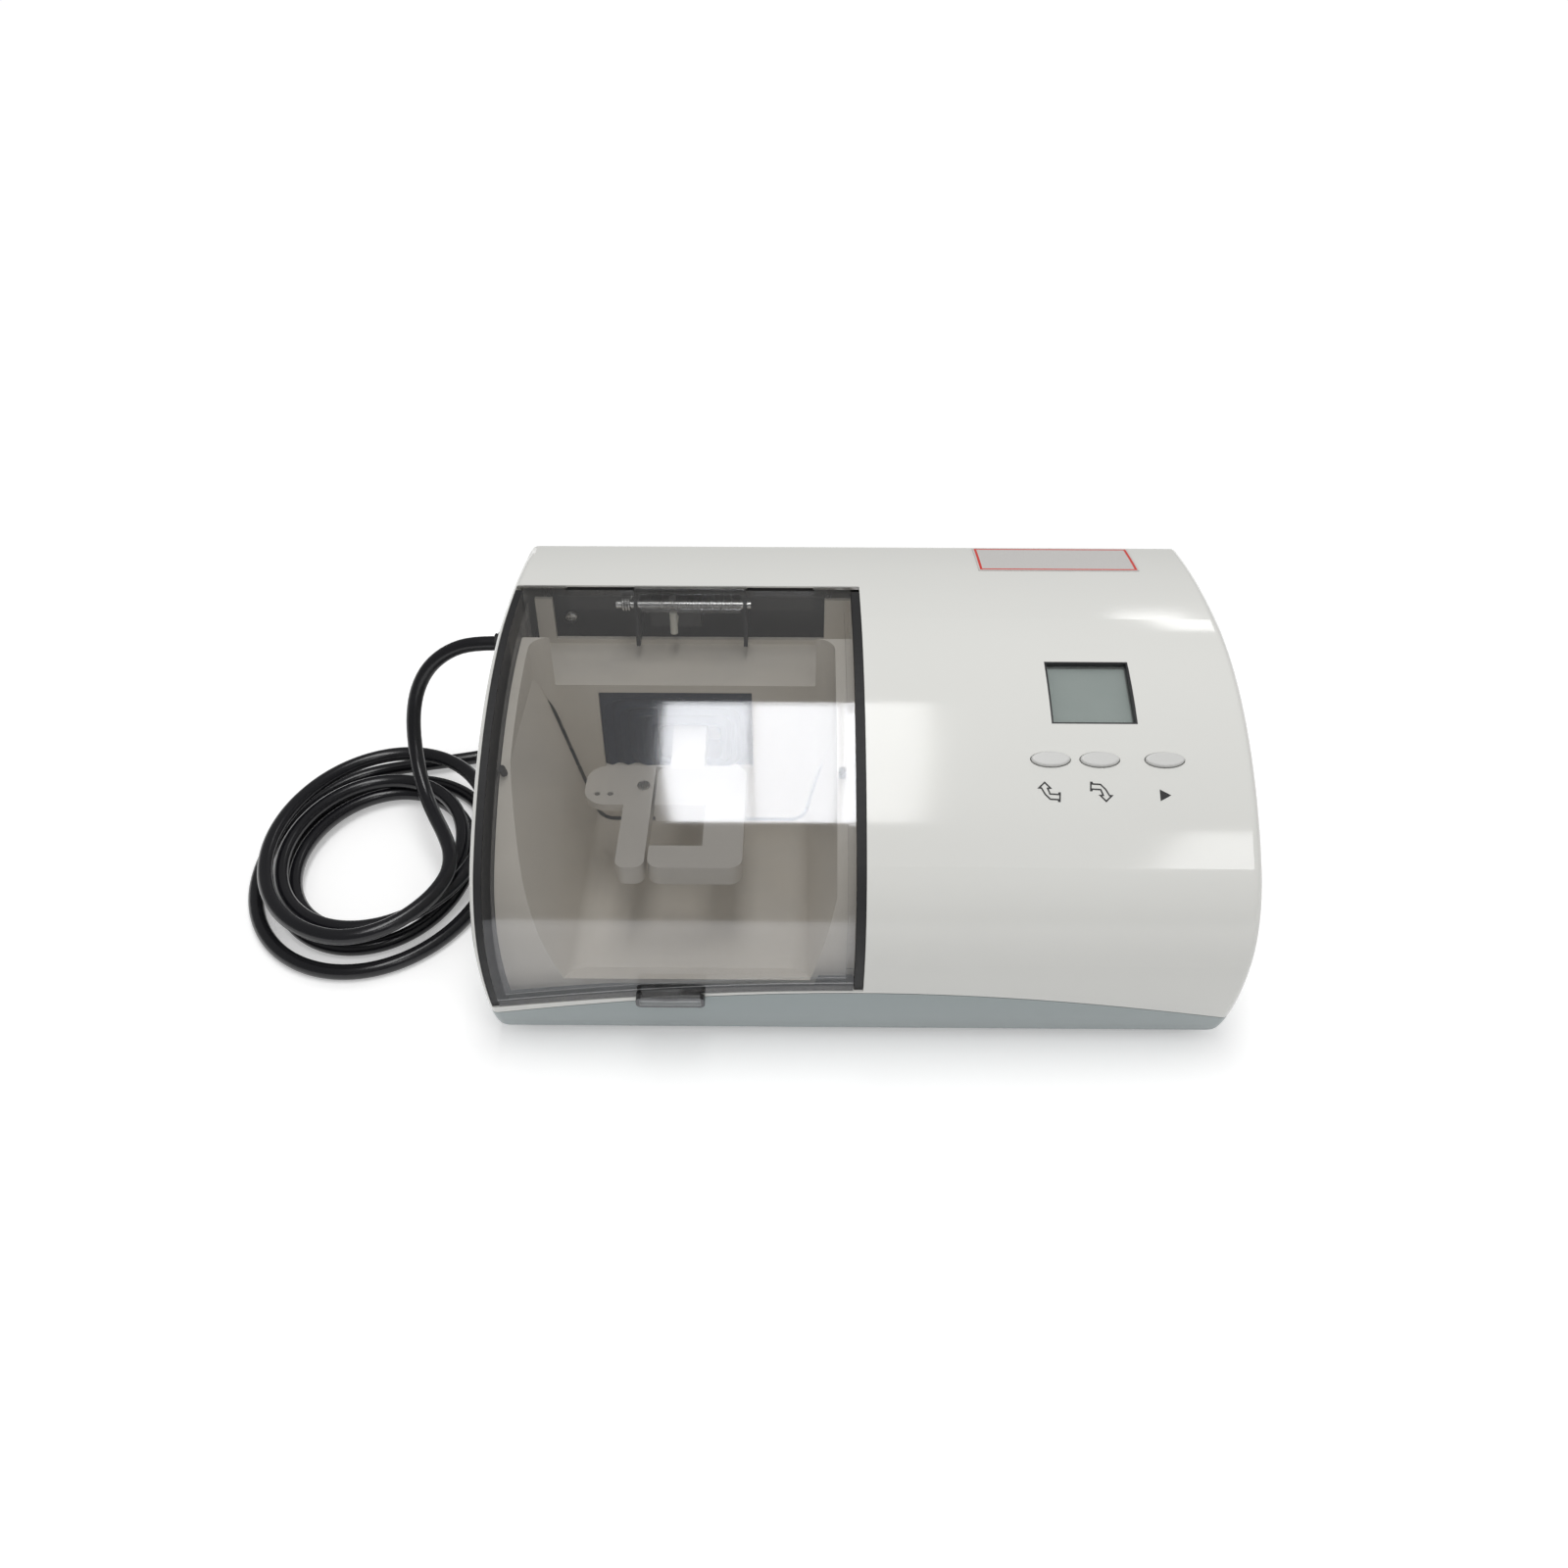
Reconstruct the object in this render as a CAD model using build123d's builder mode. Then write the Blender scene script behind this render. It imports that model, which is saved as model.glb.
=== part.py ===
from build123d import *
import math
import os

os.makedirs("parts", exist_ok=True)

# ----------------------------------------------------------------------------
# Driving dimensions, in millimetres and degrees.
# X runs to the right, Y to the back, Z up; the origin is on the table under
# the middle of the body.
# ----------------------------------------------------------------------------
body_width = 270.0
body_depth = 180.0
foot_lift = 3.0  # gap between the table and the bottom of the base
crown_z = 122.8  # highest line of the body
crown_y = 20.0  # where that highest line lies
crown_radius = 138.0  # long front slope
crown_sweep = 44.0
chin_radius = 97.0  # lower front, falling back under the nose
rear_radius = 328.0  # nearly flat rear band
rear_corner_radius = 6.0
bottom_edge_radius = 5.0
lower_corner_radius = 11.0  # seen from the front
side_edge_radius = 3.5
wall = 2.5

seam_mid_z = 35.1  # arched seam between base and housing, at the middle
seam_radius = 542.0
seam_gap = 0.4
slide_gap = 0.3  # clearance beside a moving part
fit_gap = 0.05  # clearance of a pin, shaft or bush in its bore

# Lid and its opening
opening_side = 1.8  # from the body's left side to the opening
opening_left = opening_side - body_width / 2
opening_right = 0.6
opening_rear = 45.7  # behind the opening
opening_back = body_depth / 2 - opening_rear
opening_middle = (opening_left + opening_right) / 2
arm_x = opening_middle + 0.3
opening_foot_gap = 0.6
opening_undercut = 3.0
undercut_lip = 0.6
seal_width = 2.6
right_seal_width = 3.2
seal_inset = 0.8
seal_depth = 5.0
lid_thickness = 2.5
lid_back_gap = 0.7
lid_flange_depth = 4.4
lid_flange_setback = 2.5  # in front of the hinge
lid_foot_mid_z = 36.9
lid_foot_radius = 670.0
tab_centre_x = arm_x - 1.7
tab_width = 24.6
tab_height = 6.0
tab_centre_z = 32.2
tab_stand_off = 3.2
tab_edge = 1.6
tab_corner = 2.2
tab_recess = 2.8
hinge_setback = 5.8  # in front of the opening's rear edge
hinge_y = opening_back - hinge_setback
hinge_z = 116.8
hinge_pin_radius = 1.4
knuckle_radius = 3.2
knuckle_width = 39.0
knuckle_centre_x = arm_x + 1.0
notch_depth = 3.4
notch_spans = [(arm_x - 48.0, arm_x - 21.0), (arm_x + 22.5, arm_x + 49.0)]

# Mixing tub
tub_wall = 2.2
tub_rim_inset = 7.5
shelf_wall = 1.4
rim_side_gap = (0.9, 0.4)
tub_floor_z = 25.5
tub_front_room = 22.0  # from the front of the body to the tub's floor
tub_floor_front = tub_front_room - body_depth / 2
shelf_reach = 27.3
tub_back = opening_back - shelf_reach
tub_shelf_z = 93.5
shelf_lap = 2.2  # behind the opening's rear edge
tub_shelf_back = opening_back + shelf_lap
shelf_side_gap = 0.6
tub_side_room = (8.9, 9.8)  # from the opening's sides to the tub's, at the top
tub_side_lean = (19.3, 10.8)  # how far each side leans in
tub_left_top = opening_left + tub_side_room[0]
tub_right_top = opening_right - tub_side_room[1]
tub_left_floor = tub_left_top + tub_side_lean[0]
tub_right_floor = tub_right_top - tub_side_lean[1]
tub_right_slope = 45.0  # height over which each side wall leans outward
tub_left_slope = 75.0
tub_front_step = 12.0
tub_screw_bite = 4.9
arm_window = (arm_x - 35.0, arm_x + 25.0, 53.5, 90.0)  # left, right, bottom, top
view_window = (tub_left_top + 3.7, tub_right_top - 3.4, 95.5, 116.0)
tub_corner_radius = 7.0

# Interlock
striker_x = arm_x - 6.0
striker_y = hinge_y
striker_radius = 1.5
striker_tip_z = 104.0
striker_head_gap = 4.0
plunger_radius = 1.2
plunger_travel = 1.2
plunger_depth = 5.0
switch_body = (20.0, 9.0)  # width and depth of the interlock switch

# Hinge bracket behind the tub
bracket_setback = 11.7  # behind the opening
bracket_y = opening_back + bracket_setback
bracket_gauge = 1.5
bracket_margin = 1.3  # inside the tub's sides
bracket_span = (tub_left_top + bracket_margin, tub_right_top - bracket_margin)
bracket_height = (89.0, 115.5)
bracket_screw_x = bracket_span[0] + 7.5
bracket_screw_z = 100.5
bracket_screw_length = 7.0
ear_low = 99.0
ear_high = 106.0
spring_room = 7.0
spring_wire = 1.1
spring_turns = 5
spring_pitch = 1.0
strip_setback = 0.6
strip_front = opening_back + strip_setback
strip_low = 110.5
buffer_y = -48.0
buffer_radius = 1.3
buffer_offset = 1.75
ear_gap = 1.0
ear_reach = (2.3, 2.2)  # in front of the pin and behind it
ear_front = hinge_y - ear_reach[0]
ear_back = hinge_y + ear_reach[1]

# Drive
shaft_setback = 6.7  # behind the opening
shaft_y = opening_back + shaft_setback
shaft_z = 67.5
shaft_radius = 4.0
motor_radius = 26.0
motor_left = 14.0
motor_length = 62.0
motor_shell = 1.6
rotor_gap = 0.8
rotor_radius = 15.0
stator_inset = 12.0  # from each end of the can
rotor_inset = 14.0
stator_slots = 8
stator_slot_radius = 1.6
rotor_slots = 10
rotor_slot = (3.0, 2.0)
can_vents = 6
can_vent_radius = 2.5
bush_wall = 3.0
bush_length = 8.0
saddle_width = 34.0
strap_width = 16.0
strap_gauge = 1.2
strap_drop = 12.0  # the strap sits this far below the shaft on both sides
strap_ear = 7.0
coupling_right = 10.0
coupling_length = 18.0
coupling_radius = 6.2
pillow_x = arm_x + 30.0
pillow_radius = 14.0
pillow_stem = 24.0
pillow_foot = (44.0, 4.0)
counterweight_x = arm_x + 9.5
counterweight_hub = 9.0
counterweight_lobe = (26.0, 12.0)
counterweight_gauge = 6.0
plate_top = 26.0
plate_gauge = 2.0
plate_centre = (-6.0, shaft_y + 3.0)
plate_size = (194.0, 60.0)
plate_corner = 6.0
isolator_pitch = (176.0, 48.0)
isolator_radius = 6.0
isolator_height = 6.0
journal_radius = 6.0
journal_width = 10.0
journal_skew = 4.0
bearing_bore = 7.0
bearing_outer = 13.0
bearing_width = 8.0
ring_gauge = 1.7
ball_count = 9
arm_hub_radius = 17.0
arm_width = 9.0
arm_tail = 6.0
arm_tail_reach = 9.0
neck_width = 13.0
neck_hub_half = 7.0
guide_width = 22.0
guide_slot = 14.0
guide_gauge = 8.0
guide_cap = 9.0

# Capsule cradle at the end of the arm
cradle_z = 62.5
cradle_height = 8.0
cradle_front = tub_floor_front + 10.0
cradle_back = tub_back - 16.0
cradle_left = arm_x - 22.7
cradle_right = arm_x + 23.2
cradle_bar = 12.0
cradle_bar_back = cradle_front + cradle_bar
cradle_block = 24.0
cradle_block_front = cradle_back - cradle_block
cradle_void = (arm_x - 12.2, arm_x + 8.3)
jaw_pivot = (arm_x - 16.0, cradle_back - 13.0)
jaw_gap = 1.1
lever_reach = arm_x - 38.4
lever_gauge = 3.0
jaw_pin_radius = 1.5
carrier_gauge = 2.0
carrier_width = 10.0
prong_corner = 4.0
finger_corner = 9.0
cradle_corner = 5.0
jaw_pin_head = (1.0, 0.8)  # extra radius and thickness
rivet_sink = 0.4
rivet_setback = 4.5
rivet_places = [(arm_x - offset, jaw_pivot[1] - rivet_setback) for offset in (33.4, 28.4)]
rivet_radius = 1.2
boot_gauge = 1.5
boot_slot_z = 64.0
boot_slot = (26.0, 18.0)
boot_lap = 5.0

# Display and keys
window_x = 80.9
window_y = -19.0
window_size = (28.7, 26.7)
frame_lining = 0.7
frame_depth = 3.4
lcd_drop = 4.2
lcd_margin = 3.0
lcd_step = 0.75
pane_drop = 2.6
pane_gauge = 0.8
flange_drop = 3.5
flange_margin = (5.0, 4.0)
key_y = -45.0
key_centres = [64.3, 81.3, 103.7]
key_names = ["key_up", "key_down", "key_start"]
key_size = (13.5, 5.6)
key_proud = 1.2
key_flange = 1.0
tact_height = 3.6
tact_button = (1.7, 0.4)  # radius and how far it stands up
tact_size = 6.0
key_lip = 1.2
key_rest_gap = 0.9
board_gauge = 1.6
display_board_drop = 8.2  # top of the board, below the housing's surface
key_board_drop = 9.5
key_post_spacing = 60.0
display_post_spacing = (41.0, 26.0)
board_post_radius = 2.0
board_margin = 5.0
key_board_width = 13.0

# Rear
label_span = (49.0, 113.0)
label_rear = 6.0  # in front of the body's rear face
label_depth = 24.5
label_rows = (body_depth / 2 - label_rear - label_depth, body_depth / 2 - label_rear)
label_gauge = 0.35
switch_x = 104.0
switch_z = 62.0
switch_size = (21.0, 15.0)
switch_bezel = 1.5
switch_depth = 18.0
switch_blade = (0.8, 6.0, 5.0)
switch_blade_x = 5.0
rocker_length = 14.0
rocker_width = 9.0
rocker_sink = 3.0
rocker_pivot_y = body_depth / 2 - rocker_sink
rocker_pivot_radius = 1.0
rocker_pivot_reach = 0.25
fuse_x = switch_x
fuse_drop = 24.0  # below the switch
fuse_z = switch_z - fuse_drop
fuse_radius = 6.0
fuse_wall = 1.2
fuse_length = 26.0
fuse_cap_height = 1.6
fuse_key = (7.0, 1.4, 1.0)
vent_x = -25.0
vent_z = 52.0
vent_pitch = 7.0
vent_count = 9
vent_height = 30.0
vent_width = 3.0
floor_vent_place = (45.0, plate_centre[1])
floor_vent_count = 8

# Boards and transformer
core_setback = 66.0  # from the body's rear face to the front of the core
core_place = (92.5, body_depth / 2 - core_setback)
core_size = (30.0, 32.0, 32.0)
board_z = 14.0
board_span = (20.0, 112.0)
board_front = -52.0
board_back_gap = 12.0
board_rows = (board_front, core_place[1] - board_back_gap)
board_inset = 4.0  # from the board's edges to its screws
board_posts = [
    (x, y)
    for x in (board_span[0] + board_inset, board_span[1] - board_inset)
    for y in (board_rows[0] + board_inset, board_rows[1] - board_inset)
]
# on the board: places from its front left corner, and sizes
relay_place = (10.0, 12.0)
relay_size = (19.0, 15.0, 15.0)
chip_place = (38.0, 22.0)
chip_size = (24.0, 10.0, 4.0)
connector_places = [14.0, 36.0, 58.0]
connector_size = (14.0, 6.0, 8.0)
capacitor_places = [(46.0, 8.0), (60.0, 8.0), (76.0, 22.0)]
capacitor_size = (5.0, 12.0)  # radius and height
core_leg = 7.0
winding_gap = 0.3
winding_reach = 5.0
pillar_radius = 3.0
terminal_margin = 20.0
terminal_place = (terminal_margin - body_width / 2, shaft_y - 2.0)
terminal_size = (14.0, 26.0)
terminal_top = 18.0
terminal_pitch = 8.5
terminal_well = (2.4, 4.0)

# Screw posts: x, y
rear_post_inset = (10.5, 11.0)  # in from the side and the rear
front_post_inset = (13.0, 32.0)
tub_post_inset = (9.0, 10.0, 16.0)  # in from the tub floor's left, right and front
housing_posts = [
    (body_width / 2 - front_post_inset[0], front_post_inset[1] - body_depth / 2),
    (body_width / 2 - rear_post_inset[0], body_depth / 2 - rear_post_inset[1]),
    (rear_post_inset[0] - body_width / 2, body_depth / 2 - rear_post_inset[1]),
]
tub_posts = [
    (tub_left_floor + tub_post_inset[0], tub_floor_front + tub_post_inset[2]),
    (tub_right_floor - tub_post_inset[1], tub_floor_front + tub_post_inset[2]),
]
post_radius = 4.5
base_post_top = 18.0
screw_radius = 1.5
screw_length = 8.4
screw_head_radius = 3.0
screw_head = 1.8
case_screw_head = 2.4
screw_seat = 4.0  # left under the head at the top of a post
housing_screw_bore = 16.0
foot_inset = (23.0, 30.0, 18.0)  # in from the sides, the front and the rear
foot_places = [
    (side * (body_width / 2 - foot_inset[0]), y)
    for side in (-1, 1)
    for y in (foot_inset[1] - body_depth / 2, body_depth / 2 - foot_inset[2])
]
foot_radius = 8.0
foot_recess = 1.0

# Mains cord
cord_radius = 3.1
gland_y = 63.0
gland_z = 82.5
gland_reach = 15.0
gland_end_x = -body_width / 2 - gland_reach
gland_neck_radius = 6.0
gland_flange_radius = 8.0
gland_flange = 2.0
gland_tip_radius = 4.2
gland_nut = 8.0
coil_centre = (-199.5, 11.5)
coil_outer = (59.5, 74.5)
coil_inner = (31.0, 40.5)
coil_height = 19.0
coil_floor_gap = 0.2
coil_shoulder = 4.0
lead_route = [
    (-150.0, 63.0, 82.5),
    (-162.0, 63.0, 82.5),
    (-173.7, 62.4, 78.7),
    (-183.7, 60.8, 71.2),
    (-190.7, 58.1, 61.1),
    (-194.0, 53.8, 49.7),
    (-193.5, 47.6, 38.7),
    (-190.0, 39.3, 29.9),
    (-184.5, 29.4, 24.3),
    (-177.6, 18.4, 22.4),
    (-169.9, 7.2, 22.2),
    (-161.8, -3.9, 21.7),
    (-153.1, -14.3, 20.6),
]
tail_route = [
    (-187.0, 76.0, 7.0),
    (-171.0, 83.6, 5.2),
    (-155.0, 91.2, 3.8),
    (-139.0, 98.4, 3.5),
    (-122.0, 104.6, 3.7),
    (-105.5, 108.8, 6.4),
    (-90.0, 110.4, 10.3),
    (-77.0, 110.4, 10.3),
]
plug_length = 34.0
plug_width = 25.0
plug_height = 20.0
plug_relief = 16.0
plug_collar = (1.2, 3.2)  # relief above the cord's radius, thin end and thick end
plug_corner = 4.0
blade_length = 17.0
blade_size = (1.5, 6.4)
blade_spacing = 12.7
blade_rise = 2.0
earth_pin_radius = 2.4
earth_pin_drop = 5.5

# Worked out from the values above
nose_radius = (crown_y + body_depth / 2 - crown_radius * math.sin(math.radians(crown_sweep))) / (
    1 - math.sin(math.radians(crown_sweep))
)
nose_z = (
    crown_z
    - crown_radius * (1 - math.cos(math.radians(crown_sweep)))
    - nose_radius * math.cos(math.radians(crown_sweep))
)
chin_sweep = math.degrees(math.asin((nose_z - foot_lift) / chin_radius))
rear_sweep = math.degrees(
    math.asin((body_depth / 2 - rear_corner_radius - crown_y) / (rear_radius - rear_corner_radius))
)
edge_z = crown_z - rear_radius + math.sqrt(rear_radius**2 - (opening_back - crown_y) ** 2)
undercut_top = edge_z - undercut_lip
lid_left = opening_left + fit_gap * 2 + seal_width + slide_gap
lid_right = opening_right - fit_gap * 2 - right_seal_width - slide_gap
far = 400.0  # longer than the body, for cutting shapes
key_middle_x = (key_centres[0] + key_centres[2]) / 2


def side_outline(inset):
    """Side view of the body as a face, moved inward by inset."""
    with BuildSketch(Plane.YZ) as outline:
        with BuildLine():
            crown = JernArc((crown_y, crown_z), (-1, 0), crown_radius, crown_sweep)
            nose = JernArc(crown @ 1, crown % 1, nose_radius, 90 - crown_sweep)
            chin = JernArc(nose @ 1, nose % 1, chin_radius, chin_sweep)
            rear = JernArc((crown_y, crown_z), (1, 0), rear_radius, -rear_sweep)
            corner = JernArc(rear @ 1, rear % 1, rear_corner_radius, -(90 - rear_sweep))
            Polyline(corner @ 1, ((corner @ 1).X, foot_lift), chin @ 1)
        make_face()
        fillet(outline.vertices().group_by(Axis.Y)[0], bottom_edge_radius)
        if inset != 0:
            offset(amount=-inset, kind=Kind.INTERSECTION, mode=Mode.REPLACE)
    return outline.sketch


def body_solid(inset, edge_radius=0.0):
    """The body's outer form, moved inward by inset on every side."""
    half = body_width / 2 - inset
    with BuildPart() as body:
        extrude(side_outline(inset), amount=half, both=True)
        if edge_radius:
            fillet(body.faces().filter_by(Axis.X).edges(), edge_radius)
        with BuildSketch(Plane.XZ) as front:
            with Locations((0, foot_lift + inset)):
                Rectangle(2 * half, far, align=(Align.CENTER, Align.MIN))
            fillet(front.vertices().group_by(Axis.Y)[0], lower_corner_radius - inset)
        extrude(amount=far, both=True, mode=Mode.INTERSECT)
    return body.part


def above_arc(mid_z, radius):
    """Everything above an arch that spans the body from side to side."""
    half = body_width / 2 + 20
    end_z = mid_z - radius + math.sqrt(radius**2 - half**2)
    with BuildPart() as region:
        with BuildSketch(Plane.XZ):
            with BuildLine():
                ThreePointArc((-half, end_z), (0, mid_z), (half, end_z))
                Polyline((half, end_z), (half, far), (-half, far), (-half, end_z))
            make_face()
        extrude(amount=far, both=True)
    return region.part


def slab(x_range, y_range, z_range):
    """A box between two limits on each axis."""
    middle = [(low + high) / 2 for low, high in (x_range, y_range, z_range)]
    with BuildPart() as block:
        with Locations(Vector(*middle)):
            Box(*[high - low for low, high in (x_range, y_range, z_range)])
    return block.part


def crown_plane(x, y, drop=0.0):
    """Plane on the front slope, its normal pointing out of the body."""
    lean = math.asin((crown_y - y) / crown_radius)
    z = crown_z - crown_radius * (1 - math.cos(lean))
    normal = Vector(0, -math.sin(lean), math.cos(lean))
    return Plane(origin=Vector(x, y, z) - normal * drop, x_dir=(1, 0, 0), z_dir=normal)


outer_form = body_solid(0, side_edge_radius)
inner_form = body_solid(wall)
rim_form = body_solid(tub_rim_inset)
housing_region = above_arc(seam_mid_z + seam_gap / 2, seam_radius)
opening_region = above_arc(lid_foot_mid_z - opening_foot_gap, lid_foot_radius)
lid_region = above_arc(lid_foot_mid_z, lid_foot_radius)

# ----------------------------------------------------------------------------
# Casing
# ----------------------------------------------------------------------------
with BuildPart() as base_tray:
    add(outer_form)
    add(inner_form, mode=Mode.SUBTRACT)
    add(above_arc(seam_mid_z - seam_gap / 2, seam_radius), mode=Mode.SUBTRACT)
    with BuildSketch(Plane.XY.offset(foot_lift + wall / 2)):
        with Locations(*housing_posts, *tub_posts):
            Circle(post_radius)
    extrude(amount=base_post_top - foot_lift - wall / 2)
    with BuildSketch(Plane.XY.offset(foot_lift)):
        with Locations(*housing_posts, *tub_posts):
            Circle(screw_head_radius + slide_gap)
    extrude(amount=base_post_top - foot_lift - screw_seat, mode=Mode.SUBTRACT)
    with BuildSketch(Plane.XY.offset(foot_lift)):
        with Locations(*housing_posts, *tub_posts):
            Circle(screw_radius + slide_gap)
    extrude(amount=base_post_top, mode=Mode.SUBTRACT)
    with BuildSketch(Plane.XY.offset(foot_lift)):
        with Locations(*foot_places):
            Circle(foot_radius + fit_gap)
    extrude(amount=foot_recess, mode=Mode.SUBTRACT)
    # pedestals for the mechanism plate and pillars for the control board
    with BuildSketch(Plane.XY.offset(foot_lift + wall / 2)):
        with Locations(plate_centre):
            with GridLocations(*isolator_pitch, 2, 2):
                Circle(isolator_radius)
    extrude(amount=plate_top - plate_gauge - isolator_height - foot_lift - wall / 2)
    with BuildSketch(Plane.XY.offset(foot_lift + wall / 2)):
        with Locations(*board_posts):
            Circle(pillar_radius)
    extrude(amount=board_z - foot_lift - wall / 2)
    with BuildSketch(Plane.XY.offset(board_z)):
        with Locations(*board_posts):
            Circle(screw_radius + fit_gap)
    extrude(amount=foot_lift + wall - board_z, mode=Mode.SUBTRACT)
    with BuildSketch(Plane.XY):
        with Locations(floor_vent_place):
            with GridLocations(vent_pitch, 0, floor_vent_count, 1):
                SlotOverall(vent_height, vent_width, rotation=90)
    extrude(amount=foot_lift + wall + 1, mode=Mode.SUBTRACT)
base_tray.part.label = "base_tray"
export_step(base_tray.part, "parts/base_tray.step")

with BuildPart() as well:
    add(opening_region)
    add(slab((opening_left, opening_right), (-far, opening_back), (0, far)), mode=Mode.INTERSECT)

with BuildPart() as partition:
    add(body_solid(wall / 2))
    add(slab((opening_right, opening_right + wall), (-far, opening_back), (0, far)), mode=Mode.INTERSECT)
    add(housing_region, mode=Mode.INTERSECT)

with BuildPart() as posts:
    with BuildSketch(Plane.XY.offset(base_post_top)):
        with Locations(*housing_posts):
            Circle(post_radius)
    extrude(amount=far)
    add(body_solid(wall / 2), mode=Mode.INTERSECT)

with BuildPart() as upper_housing:
    add(outer_form)
    add(inner_form, mode=Mode.SUBTRACT)
    add(housing_region, mode=Mode.INTERSECT)
    # the well that the lid closes: open top, a full wall on its right
    add(well.part, mode=Mode.SUBTRACT)
    add(partition.part)
    # the rear edge of the well is undercut so that the lid can swing under it
    with BuildSketch(Plane.YZ.offset(opening_left)):
        Polygon(
            (opening_back, undercut_top),
            (opening_back + opening_undercut, undercut_top - opening_undercut),
            (opening_back, undercut_top - opening_undercut),
            align=None,
        )
    extrude(amount=opening_right - opening_left, mode=Mode.SUBTRACT)
    # screw posts
    add(posts.part)
    with BuildSketch(Plane.XY.offset(base_post_top)):
        with Locations(*housing_posts):
            Circle(screw_radius + fit_gap)
    extrude(amount=housing_screw_bore, mode=Mode.SUBTRACT)
    # display window, key holes and their board posts
    with BuildSketch(crown_plane(window_x, window_y, wall / 2)):
        with GridLocations(*display_post_spacing, 2, 2):
            Circle(board_post_radius)
    extrude(amount=-(display_board_drop - wall / 2))
    with BuildSketch(crown_plane(window_x, window_y, -2)):
        Rectangle(window_size[0] + 2 * frame_lining, window_size[1] + 2 * frame_lining)
    extrude(amount=-(wall + 6), mode=Mode.SUBTRACT)
    with BuildSketch(crown_plane(key_middle_x, key_y, wall / 2)):
        with GridLocations(key_post_spacing, 0, 2, 1):
            Circle(board_post_radius)
    extrude(amount=-(key_board_drop - wall / 2))
    for key_x in key_centres:
        with BuildSketch(crown_plane(key_x, key_y, -2)):
            Ellipse(key_size[0] / 2 + slide_gap, key_size[1] / 2 + slide_gap)
        extrude(amount=-(wall + 5), mode=Mode.SUBTRACT)
    # cord gland hole, switch and fuse holes, rear vents
    with BuildSketch(Plane.YZ.offset(-body_width / 2 - 1)):
        with Locations((gland_y, gland_z)):
            Circle(gland_neck_radius + fit_gap)
    extrude(amount=wall + 2, mode=Mode.SUBTRACT)
    with BuildSketch(Plane.XZ.offset(-body_depth / 2 - 1)):
        with Locations((switch_x, switch_z)):
            Rectangle(switch_size[0] - 2 + 2 * fit_gap, switch_size[1] - 2 + 2 * fit_gap)
        with Locations((fuse_x, fuse_z)):
            Circle(fuse_radius + fit_gap)
        with Locations((vent_x, vent_z)):
            with GridLocations(vent_pitch, 0, vent_count, 1):
                SlotOverall(vent_height, vent_width, rotation=90)
    extrude(amount=wall + 2, mode=Mode.SUBTRACT)
upper_housing.part.label = "upper_housing"
export_step(upper_housing.part, "parts/upper_housing.step")

with BuildPart() as rubber_feet:
    with BuildSketch():
        with Locations(*foot_places):
            Circle(foot_radius)
    extrude(amount=foot_lift + foot_recess)
    chamfer(rubber_feet.edges().group_by(Axis.Z)[0], 0.6)
rubber_feet.part.label = "rubber_feet"
export_step(rubber_feet.part, "parts/rubber_feet.step")

with BuildPart() as case_screws:
    with BuildSketch(Plane.XY.offset(base_post_top - screw_seat - case_screw_head)):
        with Locations(*housing_posts, *tub_posts):
            Circle(screw_head_radius)
    extrude(amount=case_screw_head)
    with BuildSketch(Plane.XY.offset(base_post_top - screw_seat - fit_gap)):
        with Locations(*housing_posts, *tub_posts):
            Circle(screw_radius)
    extrude(amount=screw_length)
case_screws.part.label = "case_screws"
export_step(case_screws.part, "parts/case_screws.step")

with BuildPart() as blank_label:
    add(body_solid(-label_gauge))
    add(body_solid(0), mode=Mode.SUBTRACT)
    add(slab(label_span, label_rows, (seam_mid_z, far)), mode=Mode.INTERSECT)
blank_label.part.label = "blank_label"
export_step(blank_label.part, "parts/blank_label.step")

# ----------------------------------------------------------------------------
# Mixing tub under the lid
# ----------------------------------------------------------------------------
def tub_basin(grow):
    """Room inside the tub, made larger all round by grow."""
    with BuildPart() as basin:
        with BuildSketch(Plane.YZ):
            with BuildLine():
                Polyline(
                    (tub_floor_front, tub_floor_z),
                    (tub_back, tub_floor_z),
                    (tub_back, far),
                    (-far, far),
                    (-far, tub_floor_z + tub_front_step),
                    (tub_floor_front - 20, tub_floor_z + tub_front_step),
                    close=True,
                )
            make_face()
            if grow:
                offset(amount=grow, kind=Kind.INTERSECTION)
        extrude(amount=far, both=True)
        with BuildSketch(Plane.XZ) as front:
            with BuildLine():
                Polyline(
                    (tub_left_floor, tub_floor_z),
                    (tub_right_floor, tub_floor_z),
                    (tub_right_top, tub_floor_z + tub_right_slope),
                    (tub_right_top, far),
                    (tub_left_top, far),
                    (tub_left_top, tub_floor_z + tub_left_slope),
                    close=True,
                )
            make_face()
            fillet(front.vertices().group_by(Axis.Y)[0], tub_corner_radius)
            if grow:
                offset(amount=grow)
        extrude(amount=far, both=True, mode=Mode.INTERSECT)
        fillet(basin.edges().filter_by(Axis.Z).group_by(Axis.Y)[-1], tub_corner_radius + grow)
    return basin.part


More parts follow.
